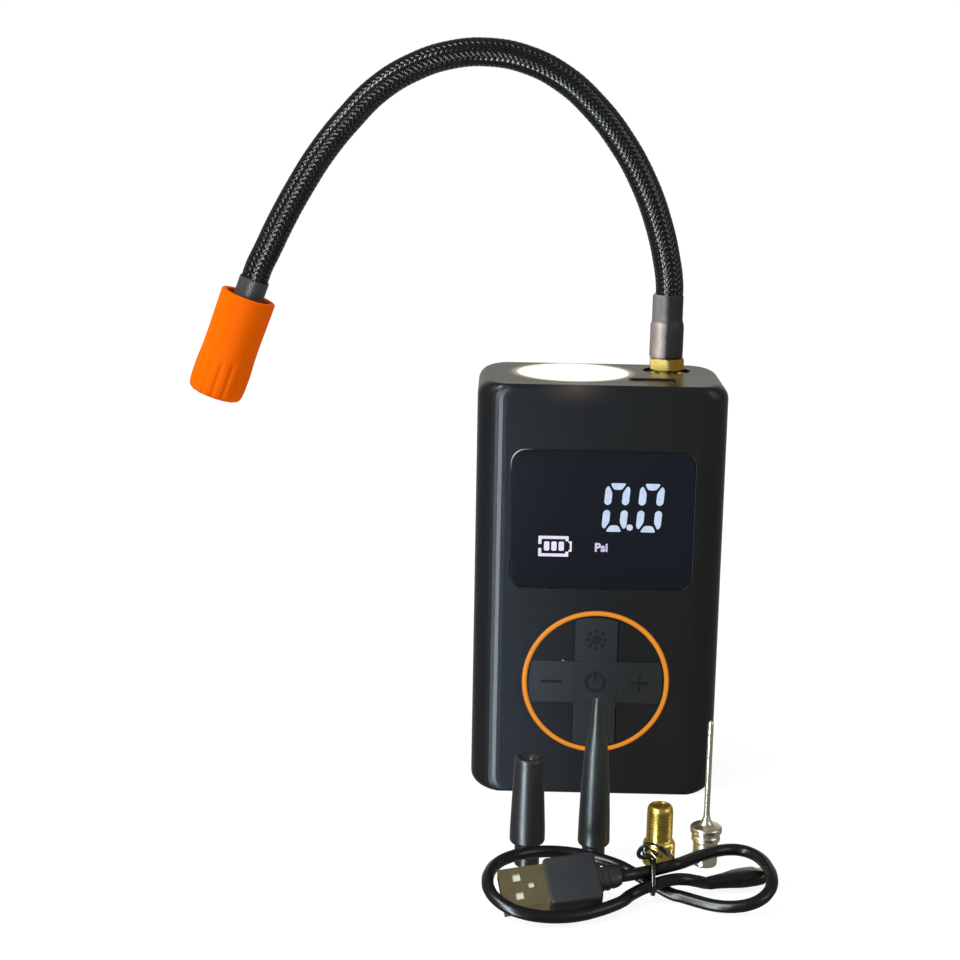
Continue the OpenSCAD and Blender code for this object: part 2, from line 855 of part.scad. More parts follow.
module battery_tray() {
  half_l = cell_l / 2 + strip_t + fit_gap;
  color("#3a3d40")
  intersection() {
    case_inside(wall);
    difference() {
      translate([-half_l - tray_t, cell_y, wall])
        cube([2 * (half_l + tray_t), back_in - cell_y, tray_top - wall]);
      for (z = cell_z) {
        along_x(-half_l, cell_y, z) cylinder(r = cell_r + seat_gap, h = 2 * half_l);
      }
      for (sx = [-1, 1]) {
        translate([sx * (half_l - 0.5), cell_y, (cell_z[0] + cell_z[1]) / 2])
          cube([1, strip_w + 4 * seat_gap, cell_z[1] - cell_z[0] + strip_w + 4 * seat_gap], center = true);
      }
    }
  }
}

module battery_cells() {
  color("#2c5f8f")
  for (z = cell_z) {
    along_x(-cell_l / 2, cell_y, z) {
      cylinder(r = cell_r, h = cell_l - 1);
      cylinder(r = 3, h = cell_l);
    }
  }
}

module cell_strips() {
  color("#c8cbd0")
  for (sx = [-1, 1]) {
    translate([sx * (cell_l / 2 + strip_t / 2), cell_y, (cell_z[0] + cell_z[1]) / 2])
      cube([strip_t, strip_w, cell_z[1] - cell_z[0] + strip_w], center = true);
  }
}

// ---------------------------------------------------------------- motor

module motor_can() {
  color("#9da2a7")
  along_x(motor_x0, motor_y, motor_z) difference() {
    cylinder(r = motor_r, h = motor_l);
    translate([0, 0, -1]) cylinder(r = motor_r - can_t, h = motor_l - 1.5 + 1);
    translate([0, 0, -1]) cylinder(r = shaft_r + run_gap, h = motor_l + 2);
  }
}

module motor_magnets() {
  color("#4a4d50")
  along_x(motor_x0 + cap_t + 0.5, motor_y, motor_z) intersection() {
    difference() {
      cylinder(r = motor_r - can_t, h = motor_l - 8);
      translate([0, 0, -1]) cylinder(r = motor_r - can_t - magnet_t, h = motor_l);
    }
    union() {
      for (sy = [0, 180]) {
        rotate(sy) translate([0, -motor_r * 0.8, -1]) cube([motor_r, motor_r * 1.6, motor_l]);
      }
    }
    difference() {
      cylinder(r = motor_r, h = motor_l);
      translate([-2, -motor_r, -1]) cube([4, 2 * motor_r, motor_l + 2]);
    }
  }
}

module motor_end_cap() {
  color("#e2ddcf")
  along_x(motor_x0, motor_y, motor_z) difference() {
    union() {
      cylinder(r = motor_r - can_t - fit_gap, h = cap_t);
      translate([0, 0, -boss_l]) cylinder(r = boss_r, h = boss_l + 1);
    }
    translate([0, 0, -boss_l - 1]) cylinder(r = shaft_r + run_gap, h = cap_t + boss_l + 2);
  }
}

module motor_armature() {
  color("#8a4a2c")
  along_x(motor_x0 + cap_t + 4, motor_y, motor_z) difference() {
    cylinder(r = armature_r, h = motor_l - 12);
    translate([0, 0, -1]) cylinder(r = shaft_r, h = motor_l);
    for (k = [0:2]) {
      rotate(120 * k) translate([armature_r * 0.55, -0.8, -1]) cube([armature_r, 1.6, motor_l]);
    }
  }
}

module motor_shaft() {
  color("#c9ccd0")
  along_x(motor_x0 - boss_l + 0.5, motor_y, motor_z)
    cylinder(r = shaft_r, h = motor_l + boss_l - 0.5 + frame_t + body_gap + gear_t + 0.5);
}

module pinion_gear() {
  color("#caa64a")
  along_x(gear_x - gear_t, motor_y, motor_z) difference() {
    linear_extrude(gear_t) gear_outline(pinion_teeth, 90 + 180 / pinion_teeth);
    translate([0, 0, -1]) cylinder(r = shaft_r, h = gear_t + 2);
  }
}

// ---------------------------------------------------------------- compressor

module compressor_frame() {
  plate_y0 = crank_y - gear_module * crank_teeth / 2;
  color("#a7abb0")
  difference() {
    union() {
      translate([frame_x0, plate_y0, tray_top + 1])
        cube([frame_t, back_in - plate_y0, deck_z - tray_top - 1 + deck_t]);
      translate([cyl_x - head_w / 2 - 0.6, crank_y - head_w / 2, deck_z])
        cube([head_w + 1.2, back_in - crank_y + head_w / 2, deck_t]);
      translate([frame_x0, back_in - frame_foot_t, tray_top + 1])
        cube([frame_foot_l, frame_foot_t, deck_z - tray_top - 1]);
    }
    along_x(frame_x0 - 1, motor_y, motor_z) cylinder(r = boss_r + 0.5, h = frame_t + 2);
    along_x(frame_x0 - 1, crank_y, motor_z) cylinder(r = axle_r + fit_gap, h = frame_t + 2);
    translate([cyl_x, crank_y, deck_z - 1]) cylinder(r = bore_r + 0.5, h = deck_t + 2);
    for (sx = [-1, 1], sy = [-1, 1]) {
      translate([cyl_x + sx * bolt_off, crank_y + sy * bolt_off, deck_z + 0.5])
        cylinder(r = screw_r + fit_gap, h = deck_t);
    }
  }
}

module crank_axle() {
  neck = frame_t + body_gap + gear_t - 0.7;
  color("#c9ccd0")
  along_x(frame_x0, crank_y, motor_z) {
    cylinder(r = axle_r, h = neck);
    translate([0, 0, neck]) cylinder(r = axle_r + 1, h = 0.6);
  }
}

module crank_gear() {
  color("#dfe3e6")
  along_x(gear_x - gear_t, crank_y, motor_z) difference() {
    linear_extrude(gear_t) gear_outline(crank_teeth, 90);
    translate([0, 0, -1]) cylinder(r = axle_r + run_gap, h = gear_t + 2);
    translate([0, 0, gear_t - 0.8]) cylinder(r = axle_r + 1.2, h = 2);
    translate([crank_throw, 0, gear_t - 2]) cylinder(r = pin_r + run_gap, h = 3);
    for (k = [1:3]) {
      rotate(90 * k) translate([gear_module * crank_teeth / 2 * 0.6, 0, -1]) cylinder(r = 1.6, h = gear_t + 2);
    }
  }
}

module piston_rod() {
  eye_z = motor_z - crank_throw;
  color("#c4c7cb")
  union() {
    along_x(rod_x0, crank_y, eye_z) cylinder(r = crank_throw, h = rod_t);
    along_x(pin_end, crank_y, eye_z) cylinder(r = pin_r, h = rod_x0 - pin_end + 0.5);
    translate([rod_x0, crank_y - rod_w / 2, eye_z]) cube([rod_t, rod_w, piston_z - eye_z + 0.5]);
    translate([cyl_x, crank_y, piston_z]) cylinder(r = bore_r - run_gap, h = piston_t);
    translate([cyl_x, crank_y, piston_z - skirt_h]) cylinder(r = skirt_r, h = skirt_h + 0.5);
    translate([cyl_x, crank_y, piston_z + piston_t]) cylinder(r = 2.5, h = cup_t + 0.2);
    translate([cyl_x, crank_y, piston_z + piston_t + cup_t]) cylinder(r = bore_r * 0.6, h = cup_boss);
  }
}

module piston_cup() {
  color("#e9e4d8")
  translate([cyl_x, crank_y, piston_z + piston_t]) difference() {
    cylinder(r = bore_r - run_gap, h = cup_t);
    translate([0, 0, -1]) cylinder(r = 2.5 + fit_gap, h = cup_t + 2);
  }
}

module cylinder_barrel() {
  color("#aeb2b6")
  translate([cyl_x, crank_y, barrel_z]) difference() {
    union() {
      cylinder(r = barrel_r, h = barrel_h);
      for (z = [0:fin_pitch:barrel_h - fin_t]) {
        translate([0, 0, z]) cylinder(r = fin_r, h = fin_t);
      }
    }
    translate([0, 0, -1]) cylinder(r = bore_r, h = barrel_h + 2);
  }
}

module head_gasket() {
  color("#5c2f26")
  translate([cyl_x, crank_y, head_z - gasket_t]) difference() {
    cylinder(r = barrel_r, h = gasket_t);
    translate([0, 0, -1]) cylinder(r = bore_r, h = 3);
  }
}

module cylinder_head() {
  color("#989ca1")
  translate([cyl_x, crank_y, head_z]) difference() {
    union() {
      translate([0, 0, head_t / 2]) cube([head_w, head_w, head_t], center = true);
      along_y(0, head_w / 2 - 1, head_t / 2) cylinder(r = nipple_r, h = nipple_l + 1);
    }
    for (sx = [-1, 1], sy = [-1, 1]) {
      translate([sx * bolt_off, sy * bolt_off, -1]) cylinder(r = screw_r + fit_gap, h = head_t + 2);
    }
    translate([0, 0, -1]) cylinder(r = bore_r - 2, h = 2.5);
    along_y(0, 0, head_t / 2) cylinder(r = 0.8, h = head_w);
  }
}

module head_screws() {
  color("#6d7175")
  for (sx = [-1, 1], sy = [-1, 1]) {
    translate([cyl_x + sx * bolt_off, crank_y + sy * bolt_off, 0]) {
      translate([0, 0, deck_z + 1]) cylinder(r = screw_r, h = head_z + head_t - deck_z - 1);
      translate([0, 0, head_z + head_t]) cylinder(r = screw_head_r, h = screw_head_t);
    }
  }
}

module air_tube() {
  from = [cyl_x, crank_y + head_w / 2 + nipple_l, head_z + head_t / 2];
  to = [hose_x, hose_y, socket_z];
  color("#5f6468")
  swept_tube(
    [
      from, from + [0, tube_r, 0], from + [0.88, 2.08, 0.32] * tube_r, from + [2.8, 2.56, 1.28] * tube_r,
      to + [-0.88, 1.44, -2.8] * tube_r, to + [-0.08, 0.32, -1.76] * tube_r, to + [0, 0, -tube_r], to
    ],
    tube_r, 8
  );
}

// ---------------------------------------------------------------- air hose

module hose_socket() {
  color("#c79a3a")
  translate([hose_x, hose_y, socket_z]) difference() {
    union() {
      cylinder(r = socket_r, h = socket_h + wall - recess_t);
      translate([0, 0, socket_h - socket_flange_t]) cylinder(r = socket_r + socket_flange_w, h = socket_flange_t);
    }
    translate([0, 0, socket_floor]) cylinder(r = thread_r + run_gap, h = socket_h);
  }
}

module hose_nut() {
  color("#d0a03c")
  translate([hose_x, hose_y, 0]) {
    translate([0, 0, nut_z - 9]) cylinder(r = thread_r, h = 9.5);
    translate([0, 0, nut_z]) cylinder(r = nut_base_r, h = nut_base_t);
    translate([0, 0, nut_z + nut_base_t]) rotate(30) cylinder(r = nut_af / 2 / cos(30), h = nut_h, $fn = 6);
  }
}

module hose_sleeve() {
  color("#3c4044")
  translate([hose_x, hose_y, sleeve_z]) rotate_extrude() polygon([
    [0, 0], [sleeve_r - 0.4, 0], [sleeve_r, 0.6], [sleeve_r, sleeve_h[0] - 0.8], [sleeve_r - 0.35, sleeve_h[0]],
    [sleeve_r - 0.35, sleeve_h[0] + sleeve_h[1] - 0.5], [sleeve_r - 0.6, sleeve_h[0] + sleeve_h[1]],
    [0, sleeve_h[0] + sleeve_h[1]]
  ]);
}

module air_hose() {
  color("#16181a")
  swept_tube([for (p = hose_route) [p[0], hose_y, p[1]]], hose_d / 2, 12);
}

// Frame of the hose's free end: +Z runs out of the hose, towards the chuck's mouth
module at_hose_end() {
  translate([hose_end[0], hose_y, hose_end[1]]) rotate([0, 180 + chuck_tilt, 0]) children();
}

module hose_tip_sleeve() {
  color("#4a4e52")
  at_hose_end() difference() {
    cylinder(r = hose_d / 2 + 0.5, h = tip_l);
    translate([0, 0, 5]) cylinder(r = barb_r, h = tip_l);
  }
}

module hose_barb() {
  flange_s = insert_s + 3.4;
  color("#c79a3a")
  at_hose_end() {
    translate([0, 0, 5]) cylinder(r = barb_r, h = flange_s + 3 - 5);
    translate([0, 0, flange_s]) cylinder(r = cavity_r - body_gap, h = 2);
    translate([0, 0, flange_s + 2.5]) cylinder(r = 0.9, h = mouth_s - 0.6 - thread_l - 0.3 - flange_s - 2.5);
  }
}

module chuck_gasket() {
  color("#1a1a1a")
  at_hose_end() translate([0, 0, insert_s + 5.4]) difference() {
    cylinder(r = cavity_r - body_gap, h = 3.6);
    translate([0, 0, -1]) cylinder(r = barb_r + seat_gap, h = 6);
  }
}

flute_n = 16;

module chuck_grip() {
  color("#f26a1b")
  at_hose_end() difference() {
    translate([0, 0, rim_s]) rotate_extrude() polygon([
      [insert_r + fit_gap, insert_s - rim_s - 2], [insert_r + 0.7, insert_s - rim_s - 2.4], [insert_r + 0.7, 0.3],
      [insert_r + 1, 0], [chuck_r - 0.7, 0], [chuck_r - 0.35, 0.5], [chuck_r - 0.6, chuck_l * 0.4],
      [chuck_r - 0.55, chuck_l * 0.6], [chuck_r, chuck_l * 0.68], [chuck_r, chuck_l * 0.88],
      [chuck_r - 0.7, chuck_l * 0.95], [chuck_r - 2, chuck_l], [valve_r + 0.8, chuck_l],
      [valve_r + 0.8, chuck_l - 0.6], [insert_r + fit_gap, chuck_l - 0.6]
    ]);
    for (k = [0:flute_n - 1]) {
      rotate(360 / flute_n * k)
        translate([chuck_r + 0.25, 0, rim_s + chuck_l * 0.64]) cylinder(r = 0.7, h = chuck_l);
    }
  }
}

module chuck_insert() {
  l = mouth_s - 0.6 - insert_s;
  color("#caa043")
  at_hose_end() translate([0, 0, insert_s]) difference() {
    cylinder(r = insert_r, h = l);
    translate([0, 0, -1]) cylinder(r = barb_r + run_gap, h = 5);
    translate([0, 0, 3.1]) cylinder(r = cavity_r, h = l - thread_l - 3.1);
    translate([0, 0, l - thread_l - 1]) cylinder(r = valve_r, h = thread_l + 2);
  }
}

// ---------------------------------------------------------------- loose kit

module short_nozzle() {
  color("#24282c")
  translate([short_at[0], short_at[1], 0]) rotate_extrude() polygon([
    [1.9, 0], [3.2, 0], [3.6, 0.4], [3.6, 6.8], [4.7, 7.1], [5.1, 7.8], [5.05, 12], [4.15, short_h - 0.6],
    [3.8, short_h], [2.7, short_h], [1.3, short_h - 1.2], [1.3, short_h - 7], [1.9, short_h - 9]
  ]);
}

module long_nozzle() {
  color("#24282c")
  translate([long_at[0], long_at[1], 0]) rotate_extrude() polygon([
    [1, 0], [2.9, 0], [3.3, 0.4], [3.3, 5.8], [4.3, 6.2], [4.65, 7], [4.5, 14], [4.15, long_h * 0.47],
    [3.4, long_h * 0.7], [2.3, long_h * 0.85], [1.3, long_h - 0.6], [1, long_h], [0.6, long_h],
    [0.6, long_h - 10], [1, long_h - 12]
  ]);
}

module valve_adapter() {
  color("#c9982f")
  translate([adapter_at[0], adapter_at[1], 0]) rotate_extrude() polygon([
    [2.55, 0], [4.3, 0], [4.65, 0.4], [4.65, 6.5], [4.2, 7.2], [3.85, 7.6], [3.85, adapter_h - 0.5],
    [3.4, adapter_h], [2.2, adapter_h], [2.2, 8], [2.55, 7.5]
  ]);
}

module ball_needle() {
  color("#b9b6b0")
  translate([needle_at[0], needle_at[1], 0]) difference() {
    rotate_extrude() polygon([
      [0, 0], [3.4, 0], [3.85, 0.5], [3.85, 7.4], [4.4, 7.8], [4.4, 9.4], [4.1, 9.8], [4.6, 10.3],
      [4.6, 11.6], [4, 12.2], [1.6, 13.4], [0.95, 15], [0.85, 17], [0.85, needle_h - 0.7],
      [0.4, needle_h], [0, needle_h]
    ]);
    translate([0, 0, -1]) cylinder(r = 1.2, h = 9);
  }
}

// ---------------------------------------------------------------- charging cable

module usb_cable() {
  color("#17191b")
  swept_tube(cable_path, cable_d / 2, 6);
}

module plug_axes() {
  translate(plug_at) rotate([plug_tilt, 0, 0]) rotate([0, 0, plug_turn]) children();
}

module usb_a_shell() {
  color("#a89c88")
  plug_axes() difference() {
    translate([-shell_l, -shell_w / 2, -shell_t / 2]) cube([shell_l, shell_w, shell_t]);
    translate([-shell_l - 1, -shell_w / 2 + 0.4, -shell_t / 2 + 0.4]) cube([shell_l - 1, shell_w - 0.8, shell_t - 0.8]);
    for (sy = [-1, 1], sz = [-1, 1]) {
      translate([-shell_l + latch_back, sy * latch_out - latch_hole / 2, sz * shell_t / 2 - 0.6])
        cube([latch_hole, latch_hole, 1.2]);
    }
    translate([-shell_l + seam_back, -seam_hole / 2, shell_t / 2 - 0.6]) cube([seam_hole, seam_hole, 1.2]);
  }
}

module usb_a_moulding() {
  color("#34383c")
  plug_axes() {
    translate([0, 0, -plug_t / 2]) linear_extrude(plug_t)
      translate([plug_l / 2, 0]) rounded_plate(plug_l, plug_w, 1.2);
    translate([plug_l - 0.5, -relief_w / 2, -relief_t / 2]) cube([relief_l + 0.5, relief_w, relief_t]);
  }
}

module small_plug_axes() {
  translate(small_plug_at) rotate([0, 0, small_plug_turn]) rotate([small_plug_tilt, 0, 0]) children();
}

module usb_c_shell() {
  color("#a9adb2")
  small_plug_axes() along_x(small_relief_l + small_plug_l, 0, 0) difference() {
    linear_extrude(small_shell_l) rotate(90) rounded_plate(small_shell_w, small_shell_t, 1.2);
    translate([0, 0, 1]) linear_extrude(small_shell_l)
      rotate(90) rounded_plate(small_shell_w - 0.6, small_shell_t - 0.6, 0.9);
  }
}

module usb_c_moulding() {
  color("#24272a")
  small_plug_axes() {
    translate([0, 0, -small_plug_t / 2]) linear_extrude(small_plug_t)
      translate([small_relief_l + small_plug_l / 2, 0]) rounded_plate(small_plug_l, small_plug_w, 1.2);
    along_x(0, 0, 0) cylinder(r = 2.1, h = small_relief_l + 1);
  }
}

module bundle_outline(r) {
  hull() {
    for (s = [strand(0, 2.1, layer_up), strand(0, -2.1, layer_up), strand(0, 0, layer_low)]) {
      translate([s[1], s[2]]) circle(r = r, $fn = 24);
    }
  }
}

module cable_tie() {
  color("#2b2d2f")
  translate([tie_at[0] - tie_w / 2, 0, 0]) rotate([90, 0, 90]) linear_extrude(tie_w) difference() {
    bundle_outline(cable_d / 2 + tie_gap + tie_t);
    bundle_outline(cable_d / 2 + tie_gap);
  }
}

// ---------------------------------------------------------------- nodes

rear_housing();
front_cover();
case_screws();
display_window();
accent_ring();
key_light();
key_minus();
key_power();
key_plus();
key_mode();
display_module();
control_board();
small_screws();
key_switches();
pressure_sensor();
torch_lens();
torch_reflector();
torch_board();
battery_tray();
battery_cells();
cell_strips();
motor_can();
motor_magnets();
motor_end_cap();
motor_armature();
motor_shaft();
pinion_gear();
compressor_frame();
crank_axle();
crank_gear();
piston_rod();
piston_cup();
cylinder_barrel();
head_gasket();
cylinder_head();
head_screws();
air_tube();
hose_socket();
usb_port_shell();
usb_port_tongue();
usb_inlet();
hose_nut();
hose_sleeve();
air_hose();
hose_tip_sleeve();
hose_barb();
chuck_gasket();
chuck_grip();
chuck_insert();
short_nozzle();
long_nozzle();
valve_adapter();
ball_needle();
usb_cable();
usb_a_shell();
usb_a_moulding();
usb_c_shell();
usb_c_moulding();
cable_tie();
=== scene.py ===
"""Portable tire inflator: finishes, braided hose, tied charging cable and loose kit on the frame."""

import json
import math

import bmesh
import bpy
from mathutils import Matrix, Vector


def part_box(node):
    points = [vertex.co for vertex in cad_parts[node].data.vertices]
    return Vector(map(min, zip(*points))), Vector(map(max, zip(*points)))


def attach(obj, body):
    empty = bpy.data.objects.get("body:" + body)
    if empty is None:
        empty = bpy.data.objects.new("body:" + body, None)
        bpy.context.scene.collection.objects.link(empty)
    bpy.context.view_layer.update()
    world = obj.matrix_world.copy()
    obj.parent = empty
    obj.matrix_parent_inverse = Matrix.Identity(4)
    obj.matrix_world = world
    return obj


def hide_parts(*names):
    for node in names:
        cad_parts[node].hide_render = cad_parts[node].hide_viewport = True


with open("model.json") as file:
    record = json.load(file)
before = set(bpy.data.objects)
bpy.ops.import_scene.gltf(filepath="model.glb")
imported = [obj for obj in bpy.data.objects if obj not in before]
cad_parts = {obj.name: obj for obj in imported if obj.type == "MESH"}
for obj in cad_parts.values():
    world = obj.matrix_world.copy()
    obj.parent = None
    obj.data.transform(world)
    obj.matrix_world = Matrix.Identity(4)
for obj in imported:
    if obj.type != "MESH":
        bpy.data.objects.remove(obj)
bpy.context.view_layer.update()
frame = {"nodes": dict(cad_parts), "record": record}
nodes = frame["nodes"]

MM = 0.001
TURN = 2 * math.pi


def mm(*point):
    """A point given in millimetres, in metres."""
    return Vector(point) * MM


def box_of(node):
    """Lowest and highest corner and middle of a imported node, in millimetres."""
    low, high = (Vector(corner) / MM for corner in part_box(node))
    return low, high, (low + high) / 2


def frame_at(at, *turns):
    """A frame at a point in mm, turned by each (angle, axis) in order."""
    place = Matrix.Translation(Vector(at) * MM)
    for angle, axis in turns:
        place = place @ Matrix.Rotation(angle, 4, axis)
    return place


def linked(name, data):
    """A new object of the scene, showing some data."""
    piece = bpy.data.objects.new(name, data)
    bpy.context.scene.collection.objects.link(piece)
    return piece


# ---------------------------------------------------------------- camera

CAMERA_AT = (-31.26, -591.645, 225.196)
CAMERA_DOWN = 0.2147
CAMERA_TURN = -0.01046
CAMERA_ROLL = 0.01806
CAMERA_LENS = 71.42
CAMERA_SENSOR = 36


def build_camera():
    """The camera at its place, aimed by turn, pitch and roll."""
    data = bpy.data.cameras.new("camera")
    data.lens = CAMERA_LENS
    data.sensor_width = CAMERA_SENSOR
    data.clip_start = 0.01
    camera = linked("camera", data)
    camera.matrix_world = frame_at(
        CAMERA_AT, (-CAMERA_TURN, "Z"), (math.pi / 2 - CAMERA_DOWN, "X"), (CAMERA_ROLL, "Z"),
    )
    bpy.context.scene.camera = camera


build_camera()


# ---------------------------------------------------------------- node trees


class Graph:
    """One node tree: adds nodes and joins them in the same call."""

    def __init__(self, tree):
        self.tree = tree

    def put(self, socket, value):
        """Joins a socket to another, or sets its constant."""
        if isinstance(value, bpy.types.NodeSocket):
            self.tree.links.new(value, socket)
        else:
            socket.default_value = value

    def add(self, kind, inputs=None, family="ShaderNode", **settings):
        """Adds a node and gives its outputs."""
        node = self.tree.nodes.new(family + kind)
        for key, value in settings.items():
            setattr(node, key, value)
        for key, value in (inputs or {}).items():
            self.put(node.inputs[key], value)
        return node.outputs

    def one(self, kind, inputs=None, **settings):
        """Adds a node and gives its first output."""
        return self.add(kind, inputs, **settings)[0]

    def geo(self, kind, inputs=None, **settings):
        """Adds a geometry node and gives its first output."""
        return self.add(kind, inputs, "GeometryNode", **settings)[0]

    def math(self, operation, *values):
        return self.one("Math", dict(enumerate(values)), operation=operation)

    def minus(self, first, second):
        return self.math("SUBTRACT", first, second)

    def plus(self, first, second):
        return self.math("ADD", first, second)

    def times(self, first, *others):
        for other in others:
            first = self.math("MULTIPLY", first, other)
        return first

    def vector(self, operation, *values, out="Vector"):
        return self.add("VectorMath", dict(enumerate(values)), operation=operation)[out]

    def scaled(self, vector, factor):
        return self.one("VectorMath", {"Vector": vector, "Scale": factor}, operation="SCALE")

    def mix(self, factor, *pair):
        """Mixes two colours, each given as a socket, 3 display values of 0 to 255 or 4 linear ones."""
        first, second = (linear(*c) if isinstance(c, tuple) and len(c) == 3 else c for c in pair)
        return self.add("Mix", {0: factor, 6: first, 7: second}, data_type="RGBA")[2]

    def remap(self, value, low, high, to_low=0.0, to_high=1.0):
        keys = {"Value": value, "From Min": low, "From Max": high, "To Min": to_low, "To Max": to_high}
        return self.one("MapRange", keys)

    def noise(self, vector, scale, detail=2.0, roughness=0.5):
        keys = {"Vector": vector, "Scale": scale, "Detail": detail, "Roughness": roughness}
        return self.add("TexNoise", keys)["Fac"]

    def place(self):
        return self.add("TexCoord")["Object"]

    def axes(self, vector=None):
        """The X, Y and Z of a vector, or of the place on the object."""
        return self.add("SeparateXYZ", {"Vector": self.place() if vector is None else vector})

    def away(self, at, stretch=None):
        """Distance in metres from a point in mm, after a stretch of each axis."""
        offset = self.vector("SUBTRACT", self.place(), tuple(at * MM))
        if stretch:
            offset = self.vector("MULTIPLY", offset, stretch)
        return self.vector("LENGTH", offset, out="Value")

    def stored(self, geometry, name, value):
        """Marks each point of a geometry with a named number."""
        keys = {"Geometry": geometry, "Name": name, "Value": value}
        return self.geo("StoreNamedAttribute", keys, data_type="FLOAT", domain="POINT")


def new_group(name, kind, inputs, outputs):
    """A node group with its named sockets, its graph, what it is given and what it results in."""
    tree = bpy.data.node_groups.new(name, kind)
    for way, sockets in (("INPUT", inputs), ("OUTPUT", outputs)):
        for label, socket_kind in sockets.items():
            tree.interface.new_socket(name=label, in_out=way, socket_type="NodeSocket" + socket_kind)
    given = tree.nodes.new("NodeGroupInput").outputs
    return tree, Graph(tree), given, tree.nodes.new("NodeGroupOutput").inputs


def build_moulded_skin():
    """Fine grain of a moulded surface, and a slow drift of its tone as handled plastic has."""
    tree, g, given, result = new_group(
        "moulded skin", "ShaderNodeTree", {"Grain Size": "Float", "Drift Size": "Float"},
        {"Height": "Float", "Tone": "Float"},
    )
    place = g.place()
    drift = g.noise(place, g.math("DIVIDE", 1.0, given["Drift Size"]), 4.0, 0.62)
    g.put(result["Height"], g.noise(place, g.math("DIVIDE", 1.0, given["Grain Size"]), 3.0, 0.6))
    g.put(result["Tone"], g.remap(drift, 0.2, 0.8))
    return tree


def build_turned_lines():
    """Lines left by a cutting tool across an axis: Vector's Z runs along that axis."""
    tree, g, given, result = new_group(
        "turned lines", "ShaderNodeTree", {"Vector": "Vector", "Line Size": "Float"},
        {"Height": "Float", "Tone": "Float"},
    )
    along = g.math("DIVIDE", g.axes(given["Vector"])["Z"], given["Line Size"])
    keys = {"W": along, "Scale": 1.0, "Detail": 2.0}
    lines = g.add("TexNoise", keys, noise_dimensions="1D")["Fac"]
    stain = g.noise(given["Vector"], 320.0, 3.0, 0.6)
    g.put(result["Height"], lines)
    g.put(result["Tone"], g.remap(g.plus(lines, stain), 0.75, 1.25))
    return tree


def build_side_light():
    """Tone of a face lit from its left: stronger and cooler there, weaker and warmer on its right."""
    sockets = {"Colour": "Color"}
    tree, g, given, result = new_group("side light", "ShaderNodeTree", sockets, sockets)
    axes = g.axes()
    raked = g.mix(g.remap(axes["Z"], 0.02, 0.125), (2.0, 2.25, 2.5, 1.0), (0.9, 1.05, 1.3, 1.0))
    tint = (0.9, 0.92, 0.94, 1.0)
    for start, stop, after in (
        (-0.036, -0.028, raked), (-0.028, 0.004, (1.0, 1.0, 1.0, 1.0)),
        (0.004, 0.036, (0.95, 0.9, 0.8, 1.0)),
    ):
        tint = g.mix(g.remap(axes["X"], start, stop), tint, after)
    g.put(result["Colour"], g.vector("MULTIPLY", given["Colour"], tint))
    return tree


SKIN = build_moulded_skin()
LINES = build_turned_lines()
SIDE = build_side_light()


def linear(*colour):
    """A display colour of 0 to 255 in linear light, with full alpha."""
    shares = (value / 255 for value in colour)
    return tuple(s / 12.92 if s <= 0.04045 else ((s + 0.055) / 1.055) ** 2.4 for s in shares) + (1.0,)


class Finish(Graph):
    """A material, with the graph that feeds its shader."""

    def __init__(self, name):
        self.material = bpy.data.materials.new(name)
        self.material.use_nodes = True
        super().__init__(self.material.node_tree)
        self.surface = self.tree.nodes["Principled BSDF"]

    def skin(self, grain=0.0004, drift=0.03):
        """Tone and height of the moulded skin."""
        made = self.add("Group", {"Grain Size": grain, "Drift Size": drift}, node_tree=SKIN)
        return made["Tone"], made["Height"]

    def side_lit(self, colour):
        return self.one("Group", {"Colour": colour}, node_tree=SIDE)

    def across(self, tone, low, high):
        """Share of the way from low to high along X, in mm, whose borders wander with the tone."""
        wander = self.times(self.minus(tone, 0.5), 0.0012)
        return self.remap(self.plus(self.axes()["X"], wander), low * MM, high * MM)

    def feed(self, **inputs):
        """Feeds the shader's inputs."""
        for key, value in inputs.items():
            self.put(self.surface.inputs[key.replace("_", " ")], value)
        return self

    def shade(self, colour, rough, height=None, depth=0.00002, strength=0.6, specular=0.3, **inputs):
        """Feeds the shader: rough holds a share and the roughness at its ends, a height makes a bump."""
        if height is not None:
            keys = {"Height": height, "Distance": depth, "Strength": strength}
            inputs["Normal"] = self.one("Bump", keys)
        share, *ends = rough
        return self.feed(Base_Color=colour, Roughness=self.remap(share, 0.0, 1.0, *ends),
                         Specular_IOR_Level=specular, **inputs)


def moulded(name, colour, drifted, rough, grain=0.0004, drift=0.03, side=False, **more):
    """A moulded plastic or rubber: two close tones, a roughness that drifts and a fine grain."""
    g = Finish(name)
    tone, height = g.skin(grain, drift)
    shown = g.mix(tone, colour, drifted)
    return g.shade(g.side_lit(shown) if side else shown, (tone, *rough), height, **more)


def metal(name, colour, stained, rough, line=0.0002, depth=0.00001, turn=(0, 0, 0)):
    """A turned or drawn metal: fine lines across its axis, with darker stains."""
    g = Finish(name)
    place = g.one("Mapping", {"Vector": g.place(), "Rotation": turn})
    lines = g.add("Group", {"Vector": place, "Line Size": line}, node_tree=LINES)
    tone = lines["Tone"]
    return g.shade(g.mix(tone, stained, colour), (tone, rough[1], rough[0]), lines["Height"], depth, 0.5,
                   0.5, Metallic=1.0)


def lit(name, colour, strength):
    """Lit surface whose light wanders slightly, as a diffuser's does."""
    g = Finish(name)
    bright = linear(*colour)
    dim = tuple(0.9 * value for value in bright[:3]) + (1.0,)
    shown = g.mix(g.remap(g.noise(g.place(), 400.0), 0.4, 0.6), dim, bright)
    return g.feed(Emission_Color=shown, Emission_Strength=strength, Roughness=0.4,
                  Base_Color=linear(14, 14, 18))


# ---------------------------------------------------------------- finishes

# Each finish carries the name of its slot in the record
FINISHES = {}

WARM = (1.0, 0.98, 0.86, 1.0)

